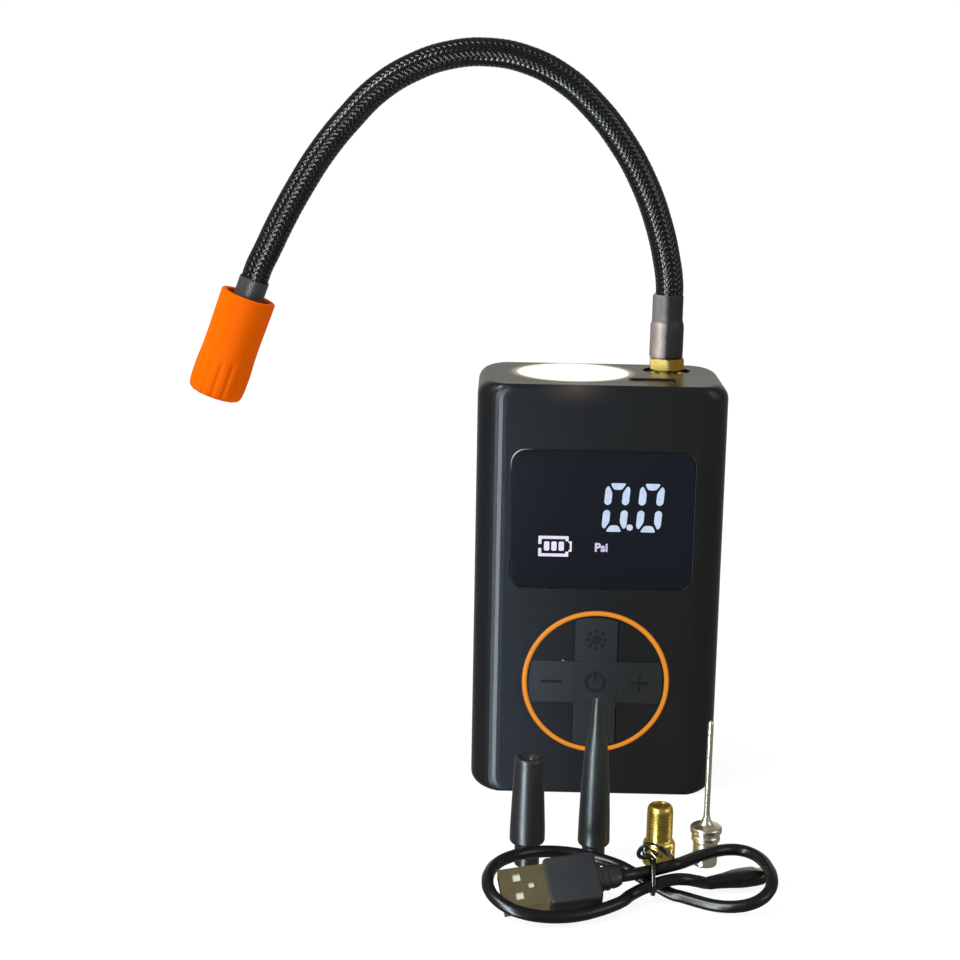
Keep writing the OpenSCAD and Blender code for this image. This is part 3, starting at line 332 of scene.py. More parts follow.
for slot, colour, drifted, rough, more in (
    ("housing_black", (29, 30, 28), (35, 35, 32), (0.3, 0.38), dict(specular=0.36, Specular_Tint=WARM)),
    ("cover_black", (26, 29, 32), (28, 31, 34), (0.28, 0.31), dict(drift=0.05, side=True)),
    ("display_frame", (20, 21, 24), (26, 27, 30), (0.5, 0.6), {}),
    ("board_green", (22, 92, 52), (18, 78, 44), (0.35, 0.5), dict(grain=0.0008)),
    ("switch_body", (196, 190, 176), (186, 180, 166), (0.45, 0.55), {}),
    ("white_board", (226, 226, 220), (214, 214, 208), (0.45, 0.6), {}),
    ("tray_plastic", (52, 55, 58), (60, 63, 66), (0.45, 0.6), {}),
    ("cell_wrap", (40, 88, 142), (34, 78, 128), (0.25, 0.35), {}),
    ("ferrite", (64, 66, 68), (74, 76, 78), (0.7, 0.85), dict(grain=0.0006)),
    ("cap_plastic", (222, 216, 202), (212, 206, 190), (0.45, 0.6), {}),
    ("cast_alloy", (158, 161, 165), (146, 149, 153), (0.45, 0.6), dict(grain=0.0006, Metallic=0.9)),
    ("seal_rubber", (26, 26, 26), (32, 32, 31), (0.6, 0.75), {}),
    ("shrink_sleeve", (60, 61, 66), (76, 76, 80), (0.34, 0.46), dict(drift=0.006, specular=0.4)),
    ("grip_orange", (255, 112, 0), (255, 104, 0), (0.5, 0.6), dict(drift=0.02, specular=0.02)),
    ("nozzle_black", (31, 35, 37), (38, 42, 44), (0.33, 0.41), dict(drift=0.01, specular=0.62)),
    ("cable_black", (12, 13, 14), (18, 19, 20), (0.25, 0.33), dict(drift=0.008, specular=0.45)),
    ("plug_grey", (40, 43, 47), (48, 51, 55), (0.42, 0.55), dict(drift=0.012)),
    ("hose_braid", (16, 17, 18), (23, 24, 26), (0.25, 0.35), dict(grain=0.001, depth=0.0001)),
    ("tie_black", (17, 18, 18), (26, 27, 26), (0.14, 0.26), dict(drift=0.004, specular=0.8)),
    ("plug_insulator", (222, 224, 214), (210, 212, 202), (0.4, 0.5), {}),
):
    FINISHES[slot] = moulded(slot.replace("_", " "), colour, drifted, rough, **more)

for slot, colour, stained, rough, more in (
    ("blackened_steel", (52, 52, 54), (30, 30, 32), (0.3, 0.45), {}),
    ("zinc_steel", (188, 190, 194), (150, 152, 156), (0.28, 0.4), {}),
    ("reflector_chrome", (225, 226, 228), (205, 206, 210), (0.08, 0.16), {}),
    ("winding_copper", (184, 98, 58), (140, 66, 38), (0.25, 0.4), dict(line=0.0004, depth=0.00006)),
    ("brass", (240, 210, 112), (212, 178, 84), (0.26, 0.36), dict(line=0.0005, depth=0.000005)),
    ("gear_steel", (200, 202, 205), (170, 172, 176), (0.25, 0.4), {}),
    ("plug_nickel", (206, 194, 158), (166, 154, 118), (0.2, 0.32), dict(turn=(0, math.pi / 2, 0))),
    ("needle_nickel", (250, 243, 226), (226, 216, 194), (0.24, 0.34), dict(depth=0.000005)),
):
    FINISHES[slot] = metal(slot.replace("_", " "), colour, stained, rough, **more)

LENS_LOW, LENS_HIGH, LENS_AT = box_of("torch_lens")
LENS_R = (LENS_HIGH - LENS_LOW)[0] / 2
LENS_WHITE_R = 14.5

RING_LOW, RING_HIGH, RING_AT = box_of("accent_ring")
RING_W = 1.85
RING_MID = (RING_HIGH - RING_LOW)[0] / 2 - RING_W / 2

WINDOW_LOW, WINDOW_HIGH, WINDOW_AT = box_of("display_window")
FRONT_Y = WINDOW_LOW[1]
KEY_FRONT = box_of("key_power")[0][1]
NUT_LOW, NUT_HIGH, NUT_AT = box_of("hose_nut")

SLEEVE_LOW, SLEEVE_HIGH, SLEEVE_AT = box_of("hose_sleeve")
SLEEVE_X = SLEEVE_AT[0] - 0.3
SLEEVE_STEP = 11.6
SLEEVE_REACH = 5.4

# Painted light across the sleeve from its left to its right, below and above its step: a painted highlight
# streak on the left, painted shade on the right
SLEEVE_PAINTED_LIGHT = (
    ((0.0, (118, 108, 108)), (0.14, (168, 160, 158)), (0.25, (226, 216, 212)), (0.34, (170, 164, 162)),
     (0.4, (140, 138, 138)), (0.47, (52, 52, 52)), (1.0, (44, 44, 46))),
    ((0.0, (96, 96, 98)), (0.2, (136, 136, 136)), (0.36, (118, 118, 120)), (0.5, (40, 46, 46)),
     (1.0, (44, 44, 46))),
)


def pane_finish():
    """Dark coated window: nearly black blue, smooth, with a faint slow drift."""
    g = Finish("window pane")
    tone, _ = g.skin(drift=0.05)
    return g.shade(g.mix(tone, (28, 31, 39), (30, 33, 41)), (tone, 0.26, 0.27), specular=0.05)


def lens_finish():
    """Torch lens, lit: white, turning warm towards its rim."""
    g = Finish("lens clear")
    rim = g.remap(g.away(LENS_AT, (1.0, 1.0, 0.0)), LENS_WHITE_R * MM, LENS_R * MM)
    return g.feed(Emission_Color=g.mix(rim, (255, 254, 248), (255, 236, 206)), Emission_Strength=1.0,
                  Roughness=0.25, Base_Color=linear(60, 58, 54))


def torch_glow(g, stretch, near, far, light):
    """Warm light that the torch throws on a surface beside its lens, and that fades from near to far."""
    share = g.remap(g.away(LENS_AT, stretch), near, far, 1.0, 0.0)
    g.feed(Emission_Color=g.mix(g.times(share, share), (0, 0, 0, 1), light), Emission_Strength=1.0)


def ring_finish():
    """Moulded orange, lighter along the crest of the ring as a painted highlight, with painted shade,
    red-brown, down both of its edges.
    """
    g = Finish("ring orange")
    tone, height = g.skin(0.0003)
    off = g.math("ABSOLUTE", g.minus(g.away(RING_AT, (1.0, 0.0, 1.0)), RING_MID * MM))
    crest = g.mix(tone, (253, 164, 42), (250, 154, 34))
    # Painted shade: the orange turns red-brown towards both edges of the dome
    edge = g.remap(off, 0.35 * RING_W / 2 * MM, RING_W / 2 * MM)
    shown = g.mix(edge, crest, (176, 84, 24))
    return g.shade(shown, (tone, 0.36, 0.44), height, strength=0.5, specular=0.25)


def key_finish():
    """Moulded keys, whose sunk signs and flanks are darker than their faces."""
    g = Finish("key black")
    tone, height = g.skin(0.0003)
    face = g.side_lit(g.mix(tone, (36, 39, 42), (39, 43, 46)))
    sunk = g.remap(g.axes()["Y"], (KEY_FRONT + 0.1) * MM, (KEY_FRONT + 0.18) * MM)
    return g.shade(g.mix(sunk, face, (18, 20, 22)), (sunk, 0.42, 0.8), height)


def lip_finish():
    """Polished lip of the window, with a painted highlight at its upper left corner."""
    g = Finish("window lip")
    corner = Vector((WINDOW_LOW[0] + 1.2, FRONT_Y, WINDOW_HIGH[2] - 1.2))
    drift = g.noise(g.place(), 90.0)
    away = g.plus(g.away(corner), g.times(drift, 0.002))
    # Painted highlight: pale near the upper left corner, fading out a few millimetres away
    painted_glint = g.math("POWER", g.remap(away, 0.002, 0.0075, 1.0, 0.0), 2.0)
    return g.shade(g.mix(painted_glint, (26, 28, 31), (215, 216, 214)), (g.remap(drift, 0.3, 0.7), 0.24, 0.36))


def sleeve_finish():
    """Shrink sleeve of the hose, with a painted highlight raking along its left and painted shade, nearly
    black, on its right.
    """
    g = Finish("raked sleeve")
    tone, height = g.skin(drift=0.004)
    share = g.across(tone, SLEEVE_X - SLEEVE_REACH, SLEEVE_X + SLEEVE_REACH)
    tones = []
    # Painted light: each ramp runs from a painted highlight on the left to painted shade on the right
    for stops in SLEEVE_PAINTED_LIGHT:
        ramp = g.tree.nodes.new("ShaderNodeValToRGB")
        g.put(ramp.inputs["Fac"], share)
        dots = ramp.color_ramp.elements
        for position, _ in stops[1:-1]:
            dots.new(position)
        for dot, (_, colour) in zip(dots, stops):
            dot.color = linear(*colour)
        tones.append(ramp.outputs["Color"])
    step = SLEEVE_LOW[2] + SLEEVE_STEP
    upper = g.remap(g.axes()["Z"], (step - 0.4) * MM, (step + 0.2) * MM)
    return g.shade(g.mix(upper, *tones), (tone, 0.36, 0.5), height, 0.00003, specular=0.25)


def nut_finish():
    """Brass of the nut, with a painted highlight on its left and painted shade, olive brown, on its right.
    """
    g = Finish("raked brass")
    tone, _ = g.skin(drift=0.004)
    share = g.across(tone, NUT_AT[0] - 0.6, NUT_AT[0] + 0.9)
    # Painted light: bright brass on the left, olive brown painted shade on the right
    shown = g.mix(share, (255, 232, 134), (182, 142, 64))
    return g.shade(shown, (tone, 0.26, 0.38), specular=0.5, Metallic=1.0)


def strand_finish():
    """Bundled nylon threads: fine lines along each strand, read from the strand's own attributes."""
    g = Finish("hose strands")
    across, along = (g.add("Attribute", attribute_name=name)["Fac"] for name in ("across", "along"))
    thread = g.math("SINE", g.times(across, 50.0))
    spread = g.noise(g.one("CombineXYZ", {"X": across, "Y": along}), 9.0)
    tone = g.remap(spread, 0.35, 0.65)
    shown = g.mix(tone, (9, 10, 10), (16, 17, 18))
    return g.shade(shown, (tone, 0.13, 0.2), thread, 0.00001, 0.35, 0.6)


FINISHES.update(
    window_pane=pane_finish(), lens_clear=lens_finish(), accent_orange=ring_finish(),
    key_black=key_finish(),
)
torch_glow(FINISHES["cover_black"], (1 / 0.015, 0.0, 1 / 0.0075), 0.0, 1.0, (0.07, 0.047, 0.038, 1.0))
torch_glow(FINISHES["housing_black"], (1.0, 1.0, 3.0), LENS_R * MM, (LENS_R + 3.4) * MM,
           (0.5, 0.42, 0.33, 1.0))

for part in frame["record"]["subparts"]:
    dressed = nodes[part["node"]].data
    dressed.materials.clear()
    dressed.materials.append(FINISHES[part["material_slot"]].material)


# ---------------------------------------------------------------- making pieces


def ride(piece, body, slot, *replaced):
    """Puts a piece on the body it rides and hides the nodes it stands for; its slot is not used."""
    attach(piece, body)
    if replaced:
        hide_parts(*replaced)
    return piece


def mesh_from(name, work, outward=True):
    """A mesh from a bmesh, its faces turned outwards."""
    if outward:
        bmesh.ops.recalc_face_normals(work, faces=work.faces)
    mesh = bpy.data.meshes.new(name)
    work.to_mesh(mesh)
    work.free()
    return mesh


def keep(name, shape, body, slot, *replaced, finish=None, smooth=40):
    """Makes a piece of a mesh or a bmesh, in the finish of its slot unless another is given."""
    mesh = mesh_from(name, shape) if isinstance(shape, bmesh.types.BMesh) else shape
    mesh.name = name
    mesh.materials.clear()
    mesh.materials.append((finish or FINISHES[slot]).material)
    mesh.polygons.foreach_set("use_smooth", [True] * len(mesh.polygons))
    mesh.set_sharp_from_angle(angle=math.radians(smooth))
    return ride(linked(name, mesh), body, slot, *replaced)


def round_corner(before, corner, after, radius, steps):
    """Points of a soft curve that cuts a corner at up to the given radius."""
    back = before - corner
    on = after - corner
    cut = min(radius, 0.45 * back.length, 0.45 * on.length)
    start = corner + cut * back.normalized()
    end = corner + cut * on.normalized()
    shares = [k / steps for k in range(steps + 1)]
    return [(1 - t) ** 2 * start + 2 * t * (1 - t) * corner + t * t * end for t in shares]


def softened(outline, radius, steps=4):
    """An open outline with its corners rounded."""
    points = [Vector(p) for p in outline]
    result = points[:1]
    for corner in zip(points, points[1:], points[2:]):
        result += round_corner(*corner, radius, steps)
    return result + points[-1:]


def divided(outline, reach):
    """An outline with points added, so that no stretch of it is longer than reach."""
    dense = [outline[0]]
    for before, after in zip(outline, outline[1:]):
        parts = max(1, math.ceil((after - before).length / reach))
        dense += [before.lerp(after, (k + 1) / parts) for k in range(parts)]
    return dense


def walls(work, rings, ends="caps"):
    """Adds the faces between rings, any of which may be one point, and closes or joins the two ends."""
    pairs = list(zip(rings, rings[1:]))
    if ends == "joined":
        pairs.append((rings[-1], rings[0]))
    for low, high in pairs:
        count = max(len(low), len(high))
        for k in range(count):
            n = (k + 1) % count
            if len(low) == 1:
                work.faces.new((low[0], high[k], high[n]))
            elif len(high) == 1:
                work.faces.new((low[k], low[n], high[0]))
            else:
                work.faces.new((low[k], low[n], high[n], high[k]))
    if ends == "caps":
        work.faces.new(list(reversed(rings[0])))
        work.faces.new(rings[-1])


def turned(outline, place, sides=72, shape=None):
    """A form turned round its own Z: outline holds (radius, height) in mm, shape may move a radius."""
    work = bmesh.new()
    rings = []
    for radius, height in outline:
        ring = []
        for k in range(sides if radius > 1e-4 else 1):
            angle = TURN * k / sides
            r = radius if shape is None else shape(radius, height, angle)
            ring.append(work.verts.new(place @ mm(r * math.cos(angle), r * math.sin(angle), height)))
        rings.append(ring)
    walls(work, rings, "joined" if len(rings[0]) > 1 and len(rings[-1]) > 1 else "points")
    return work


def swept(work, points, section, up, twist=0.0, closed=False):
    """Adds a bar along points in mm: section holds (side, up) offsets, turned by twist over its length."""
    path = [Vector(p) for p in points]
    count = len(path)
    rings = []
    for i, here in enumerate(path):
        if closed:
            run = path[(i + 1) % count] - path[i - 1]
        else:
            run = path[min(i + 1, count - 1)] - path[max(i - 1, 0)]
        run.normalize()
        rise = (up - up.dot(run) * run).normalized()
        side = run.cross(rise)
        angle = twist * i / (count - 1)
        a = math.cos(angle) * side + math.sin(angle) * rise
        b = math.cos(angle) * rise - math.sin(angle) * side
        rings.append([work.verts.new((here + u * a + v * b) * MM) for u, v in section])
    walls(work, rings, "joined" if closed else "caps")


def rounded_outline(width, height, corner, inset=0.0, steps=8):
    """Corners of a rounded rectangle, drawn in by inset."""
    radius = max(corner - inset, 0.02)
    points = []
    for quarter, (sx, sy) in enumerate(((1, 1), (-1, 1), (-1, -1), (1, -1))):
        cx = sx * (width / 2 - corner)
        cy = sy * (height / 2 - corner)
        for k in range(steps + 1):
            angle = math.pi / 2 * (quarter + k / steps)
            points.append((cx + radius * math.cos(angle), cy + radius * math.sin(angle)))
    return points


def rim_layers(thick, rim, steps=4):
    """(inset, height) of a slab whose two rims are rounded."""
    angles = [math.pi / 2 * k / steps for k in range(steps + 1)]
    low = [(rim * (1 - math.sin(a)), rim * (1 - math.cos(a))) for a in angles]
    return low + [(inset, thick - height) for inset, height in reversed(low)]


def stacked(place, outlines):
    """A closed form whose walls join outlines, each a list of points in mm."""
    work = bmesh.new()
    walls(work, [[work.verts.new(place @ mm(*point)) for point in outline] for outline in outlines])
    return work


def slab(width, height, corner, layers, place):
    """A rounded slab made of outlines, each (inset, height) in mm."""
    return stacked(place, [
        [(x, y, level) for x, y in rounded_outline(width, height, corner, inset)] for inset, level in layers
    ])


def lofted(place, sections):
    """A closed bar along X through rounded sections, each (along, width, thickness) in mm."""
    return stacked(place, [
        [(along, y, z) for y, z in rounded_outline(width, thick, 0.46 * min(width, thick), steps=6)]
        for along, width, thick in sections
    ])


def smooth_curve(name, points, resolution):
    """A curve object of one smooth open spline through points in mm."""
    data = bpy.data.curves.new(name, "CURVE")
    data.dimensions = "3D"
    data.resolution_u = resolution
    spline = data.splines.new("BEZIER")
    spline.bezier_points.add(len(points) - 1)
    for knot, point in zip(spline.bezier_points, points):
        knot.co = mm(*point)
        knot.handle_left_type = "AUTO"
        knot.handle_right_type = "AUTO"
    return linked(name, data)


def line_through(points, resolution=12):
    """Points in metres along the smooth curve through points in mm, and its length."""
    guide = smooth_curve("guide", points, resolution)
    bpy.context.view_layer.update()
    mesh = bpy.data.meshes.new_from_object(guide)
    line = [v.co.copy() for v in mesh.vertices]
    bpy.data.objects.remove(guide)
    bpy.data.meshes.remove(mesh)
    return line, sum((b - a).length for a, b in zip(line, line[1:]))


def grown(piece, tree, name, **inputs):
    """The plain mesh that a node tree makes of a piece; the piece itself is deleted."""
    modifier = piece.modifiers.new("shape", "NODES")
    modifier.node_group = tree
    sockets = {s.name: s.identifier for s in tree.interface.items_tree
               if s.item_type == "SOCKET" and s.in_out == "INPUT"}
    for key, setting in inputs.items():
        modifier[sockets[key.replace("_", " ")]] = setting
    bpy.context.view_layer.update()
    depsgraph = bpy.context.evaluated_depsgraph_get()
    mesh = bpy.data.meshes.new_from_object(piece.evaluated_get(depsgraph), depsgraph=depsgraph)
    mesh.name = name
    piece.modifiers.clear()
    bpy.data.objects.remove(piece)
    return mesh


# ---------------------------------------------------------------- braided hose

HOSE_Y = 9.75
HOSE_ROUTE = [(x, HOSE_Y, z) for x, z in (
    (21.2, 154), (21.2, 158), (20, 166), (17, 177.5), (12, 190), (5, 202), (-4, 213), (-14, 221.5),
    (-25.5, 227), (-37, 229), (-49, 228), (-60.5, 224), (-71, 217.5), (-80, 208.5), (-88.5, 198),
    (-95.5, 187), (-101.3, 176.5), (-106, 166.8), (-108.6, 161.5), (-110, 157.6),
)]


def build_braid_tree():
    """Strands that wind both ways round a curve and pass over two and under two of each other."""
    tree, g, given, result = new_group(
        "braided hose", "GeometryNodeTree",
        {
            "Geometry": "Geometry", "Pairs": "Int", "Turns": "Float", "Steps": "Int",
            "Braid Radius": "Float", "Weave Height": "Float", "Strand Width": "Float",
            "Strand Depth": "Float", "Core Radius": "Float", "Strand Material": "Material",
            "Core Material": "Material",
        },
        {"Geometry": "Geometry"},
    )
    pairs = given["Pairs"]
    line = g.geo("CurvePrimitiveLine")
    steps = g.geo("ResampleCurve", {"Curve": line, "Count": given["Steps"]})
    keys = {"Geometry": steps, "Amount": g.times(pairs, 2.0)}
    copies = g.add("DuplicateElements", keys, "GeometryNode", domain="SPLINE")
    index = copies["Duplicate Index"]
    t = g.geo("SplineParameter")
    way = g.minus(g.times(g.math("MODULO", index, 2.0), 2.0), 1.0)
    place = g.math("FLOOR", g.math("DIVIDE", index, 2.0))
    turns = g.times(given["Turns"], t, way)
    angle = g.times(g.plus(g.math("DIVIDE", place, pairs), turns), TURN)
    crossing = g.plus(g.times(place, 2.0), g.times(turns, pairs, 2.0))
    wave = g.math("COSINE", g.times(g.minus(crossing, 0.5), math.pi / 2))
    square = g.math("MAXIMUM", g.math("MINIMUM", g.times(wave, 1.6), 1.0), -1.0)
    radius = g.plus(given["Braid Radius"], g.times(square, way, given["Weave Height"]))
    keys = {"Curves": given["Geometry"], "Factor": t}
    sample = g.add("SampleCurve", keys, "GeometryNode", mode="FACTOR")
    other = g.vector("CROSS_PRODUCT", sample["Tangent"], sample["Normal"])
    outward = g.vector("ADD", g.scaled(sample["Normal"], g.math("COSINE", angle)),
                       g.scaled(other, g.math("SINE", angle)))
    spot = g.vector("ADD", sample["Position"], g.scaled(outward, radius))
    strands = g.geo("SetPosition", {"Geometry": copies["Geometry"], "Position": spot})
    strands = g.geo("SetCurveNormal", {"Curve": strands, "Normal": outward}, mode="FREE")
    strands = g.stored(strands, "along", g.times(t, 60.0))
    circle = g.geo("CurvePrimitiveCircle", {"Resolution": 8, "Radius": 0.5})
    circle = g.stored(circle, "across", g.geo("SplineParameter"))
    size = g.one("CombineXYZ", {"X": given["Strand Depth"], "Y": given["Strand Width"], "Z": 1.0})
    profile = g.geo("Transform", {"Geometry": circle, "Scale": size})
    core = g.geo("ResampleCurve", {"Curve": given["Geometry"], "Count": 160})
    ring = g.geo("CurvePrimitiveCircle", {"Resolution": 20, "Radius": given["Core Radius"]})
    both = tree.nodes.new("GeometryNodeJoinGeometry")
    for curve, edge, finish in ((strands, profile, "Strand Material"), (core, ring, "Core Material")):
        bars = g.geo("CurveToMesh", {"Curve": curve, "Profile Curve": edge, "Fill Caps": True})
        bars = g.geo("SetMaterial", {"Geometry": bars, "Material": given[finish]})
        g.put(both.inputs[0], bars)
    whole = g.geo("RealizeInstances", {"Geometry": both.outputs[0]})
    g.put(result["Geometry"], g.geo("SetShadeSmooth", {"Geometry": whole}))
    return tree


def build_hose():
    """Braided hose along its route."""
    core = moulded("hose core", (5, 5, 6), (8, 8, 9), (0.6, 0.7))
    mesh = grown(
        smooth_curve("hose_guide", HOSE_ROUTE, 24), build_braid_tree(), "air_hose",
        Pairs=14, Turns=9.0, Steps=460, Braid_Radius=0.00421, Weave_Height=0.00009, Strand_Width=0.0013,
        Strand_Depth=0.00024, Core_Radius=0.004, Strand_Material=strand_finish().material,
        Core_Material=core.material,
    )
    return ride(linked("braided_hose", mesh), "hose_assembly", "hose_braid", "air_hose")


hose = build_hose()
hose_line, hose_length = line_through(HOSE_ROUTE)

# Frame of the hose's free end: Z runs out of the hose towards the chuck's mouth
CHUCK_TILT = 0.34464
END_PLACE = frame_at(HOSE_ROUTE[-1], (math.pi + CHUCK_TILT, "Y"))

RIM_S = 5.6
CHUCK_L = 33.7
CHUCK_R = 9
INSERT_R = 6.25
FLUTES = 16
FLUTE_DEPTH = 0.42
FLUTE_FROM = 0.62


def ease(x):
    """Soft step from 0 to 1."""
    x = min(max(x, 0.0), 1.0)
    return x * x * (3 - 2 * x)


def fluted(radius, height, angle):
    """Draws the outer wall in where a flute runs, deeper towards the mouth."""
    if radius < CHUCK_R - 1.8:
        return radius
    fade = ease(((height - RIM_S) / CHUCK_L - FLUTE_FROM) / 0.05)
    wave = 0.5 + 0.5 * math.cos(FLUTES * angle)
    return radius - FLUTE_DEPTH * fade * wave ** 3


def build_chuck_grip():
    """Orange grip of the chuck, from its bore over its outside to its mouth."""
    outline = divided(softened([
        (INSERT_R, 10.7), (INSERT_R + 0.65, 10.3), (INSERT_R + 0.65, 0.4), (INSERT_R + 0.95, 0),
        (CHUCK_R - 0.35, 0), (CHUCK_R - 0.15, 0.4), (CHUCK_R - 0.32, 0.4 * CHUCK_L),
        (CHUCK_R - 0.3, 0.58 * CHUCK_L), (CHUCK_R, 0.7 * CHUCK_L), (CHUCK_R, 0.88 * CHUCK_L),
        (CHUCK_R - 0.3, 0.965 * CHUCK_L), (CHUCK_R - 1.2, CHUCK_L), (4.75, CHUCK_L),
        (4.75, CHUCK_L - 0.1), (INSERT_R, CHUCK_L - 0.1),
    ], 1.2), 1.2)
    work = turned([(r, s + RIM_S) for r, s in outline], END_PLACE, 160, fluted)
    return keep("fluted_grip", work, "chuck", "grip_orange", "chuck_grip", smooth=50)


def build_hose_sleeve():
    """Stepped shrink sleeve, drawn on to what lies under it, so its wall wanders a little."""
    tall = (SLEEVE_HIGH - SLEEVE_LOW)[2] + 1.4
    outer = (SLEEVE_HIGH - SLEEVE_LOW)[0] / 2 + 0.6
    outline = divided(softened([
        (3.2, 0), (outer - 0.5, 0), (outer - 0.05, 0.5), (outer - 0.05, SLEEVE_STEP - 1.1),
        (outer - 0.5, SLEEVE_STEP + 0.2), (outer - 0.5, tall - 0.5), (outer - 0.8, tall), (3.2, tall),
    ], 0.6), 0.7)

    def wander(radius, height, angle):
        drawn = math.sin(3 * angle + 1.3 * height) * math.sin(0.9 * height + 2 * angle)
        return radius - 0.07 * (0.5 + 0.5 * drawn)

    work = turned(outline, frame_at((SLEEVE_X, HOSE_Y, SLEEVE_LOW[2])), 96, wander)
    keep("crimp_sleeve", work, "hose_assembly", "shrink_sleeve", "hose_sleeve", finish=sleeve_finish(),
         smooth=60)


grip = build_chuck_grip()
build_hose_sleeve()


# ---------------------------------------------------------------- tied charging cable

CABLE_D = 3.4
TIE_AT = Vector((13.2, -99.4, 5.15))
TIE_HALF = 6
LAYER_UP = 2.8
LAYER_LOW = -1.2
LEAN = math.cos(math.pi / 4)
CABLE_LOW = CABLE_D / 2 + 0.05
LOOP_RINGS = 24
PLUG_AT = Vector((-16.3, -108.6, 6.9))
PLUG_TILT = math.radians(35)
PLUG_TURN = math.radians(10.7)
PLUG_L = 14.5
PLUG_W = 14.4
PLUG_T = 6.6
RELIEF_L = 5
SHELL_L = 11.8
LEAD_L = 2.2
SMALL_AT = Vector((31.2, -95, 3.4))
SMALL_TURN = math.radians(22)
SMALL_TILT = math.radians(-10)

# Frame of the large plug: X runs along it towards the cable, Z out of its broad face
PLUG_PLACE = frame_at(PLUG_AT, (PLUG_TILT, "X"), (PLUG_TURN, "Z"))


def strand(along, stack, layer):
    """A place in the tied bundle, whose two layers are stacked at 45 degrees."""
    return TIE_AT + Vector((along, LEAN * (stack - layer), LEAN * (stack + layer)))


def loop_point(t, side, start, end, reach, far_w, near_w, droop, high_z, far_p, near_p):
    """A point of one drop-shaped loop of the hank, from the tie and back, its far side raised."""
    angle = TURN * t
    s = (1 - math.cos(angle)) / 2
    width, power = (far_w, far_p) if t < 0.5 else (near_w, near_p)
    half = width * math.sin(angle) * s ** power
    level = CABLE_LOW + (high_z - CABLE_LOW) * (1 - ease((t - 0.4) / 0.42))
    enter = 1 - ease(t / 0.45)
    leave = ease((t - 0.6) / 0.4)
    across = (start.y - TIE_AT.y) * (1 - ease(t)) + (end.y - TIE_AT.y) * ease(t)
    return Vector((
        start.x + side * reach * s,
        TIE_AT.y + half + droop * s * s + across,
        level + (start.z - high_z) * enter + (end.z - CABLE_LOW) * leave,
    ))


def loop(*shape):
    """The points of a loop but for the two beside its ends, where it would kink."""
    skipped = (1, LOOP_RINGS - 1)
    return [loop_point(i / LOOP_RINGS, *shape) for i in range(LOOP_RINGS + 1) if i not in skipped]


def plug_line(along):
    """A point on the large plug's middle line."""
    up = Vector((0, math.cos(PLUG_TILT), math.sin(PLUG_TILT)))
    return PLUG_AT + along * (math.cos(PLUG_TURN) * Vector((1, 0, 0)) + math.sin(PLUG_TURN) * up)


def cable_route():
    """Points from the large plug through the tie, round both loops and on to the small plug."""
    right_from = strand(TIE_HALF, 3.8, LAYER_UP)
    right_to = strand(TIE_HALF, -3.3, LAYER_LOW)
    left_from = strand(-TIE_HALF, 3.3, LAYER_LOW)
    left_to = strand(-TIE_HALF, -3.6, LAYER_UP) + Vector((0, -1.5, -0.8))
    small_way = Vector((math.cos(SMALL_TURN), math.sin(SMALL_TURN), 0))
    return [
        plug_line(PLUG_L + RELIEF_L), plug_line(PLUG_L + RELIEF_L + LEAD_L), strand(0, 2.1, LAYER_UP),
        *loop(1, right_from, right_to, 27, 21, 13, 0, 8.2, 0.7, 0.7), strand(0, 0, LAYER_LOW),
        *loop(-1, left_from, left_to, 39.5, 15.2, 15.2, -7.5, 9.3, 0.35, 0.24), strand(0, -2.1, LAYER_UP),
        strand(TIE_HALF, -0.4, LAYER_UP), Vector((22.4, -100.7, 6.5)), Vector((25.7, -98.5, 5.1)),
        SMALL_AT - LEAD_L * small_way, SMALL_AT,
    ]


def build_cable():
    """Charging cable along its route."""
    cable = smooth_curve("charging_cable", cable_route(), 8)
    cable.data.bevel_depth = CABLE_D / 2 * MM
    cable.data.bevel_resolution = 5
    cable.data.use_fill_caps = True
    cable.data.materials.append(FINISHES["cable_black"].material)
    return ride(cable, "cable_part", "cable_black", "usb_cable")


def build_large_moulding():
    """Overmould of the large plug, its rims rounded."""
    place = PLUG_PLACE @ frame_at((PLUG_L / 2, 0, -PLUG_T / 2))
    work = slab(PLUG_L, PLUG_W, 1.3, rim_layers(PLUG_T, 0.75), place)
    return keep("large_plug_grip", work, "cable_part", "plug_grey", "usb_a_moulding")


def build_small_moulding():
    """Slim overmould of the small plug, which swells gently out of the cable."""
    work = lofted(frame_at(SMALL_AT, (SMALL_TURN, "Z"), (SMALL_TILT, "X")), [
        (-2.4, 3.3, 3.3), (-2.0, 3.7, 3.65), (0, 4.0, 3.75), (2.0, 4.8, 3.85), (4.2, 6.0, 4.05),
        (6.4, 7.6, 4.3), (8.6, 8.4, 4.4), (11.8, 8.6, 4.3), (13.4, 8.6, 4.0), (13.9, 8.4, 3.6),
        (14.1, 7.8, 3.0),
    ])
    return keep("small_plug_grip", work, "cable_part", "cable_black", "usb_c_moulding", smooth=60)


def bundle_edge(radius, count=72):
    """Outline of a band pulled round the three tied strands, in the YZ plane."""
    centres = [strand(0, 2.1, LAYER_UP), strand(0, -2.1, LAYER_UP), strand(0, 0, LAYER_LOW)]
    edge = []
    for k in range(count):
        way = Vector((0, math.cos(TURN * k / count), math.sin(TURN * k / count)))
        edge.append(max(centres, key=lambda c: c.dot(way)) + radius * way)
    return edge


def build_tie():
    """Flat wire tie: a band round the bundle."""
    flat = [(-0.55, -0.36), (-0.2, -0.33), (0.2, -0.33), (0.55, -0.36), (0.55, 0.2), (0.3, 0.42),
            (-0.3, 0.42), (-0.55, 0.2)]
    middle = Vector((TIE_AT.x, *box_of("cable_tie")[2][1:]))
    work = bmesh.new()
    rings = []
    for point in bundle_edge(CABLE_D / 2 + 0.95):
        away = (point - middle).normalized()
        rings.append([work.verts.new((point + Vector((u, 0, 0)) + v * away) * MM) for u, v in flat])
    walls(work, rings, "joined")
    return keep("cable_tie_band", work, "cable_part", "tie_black", "cable_tie")


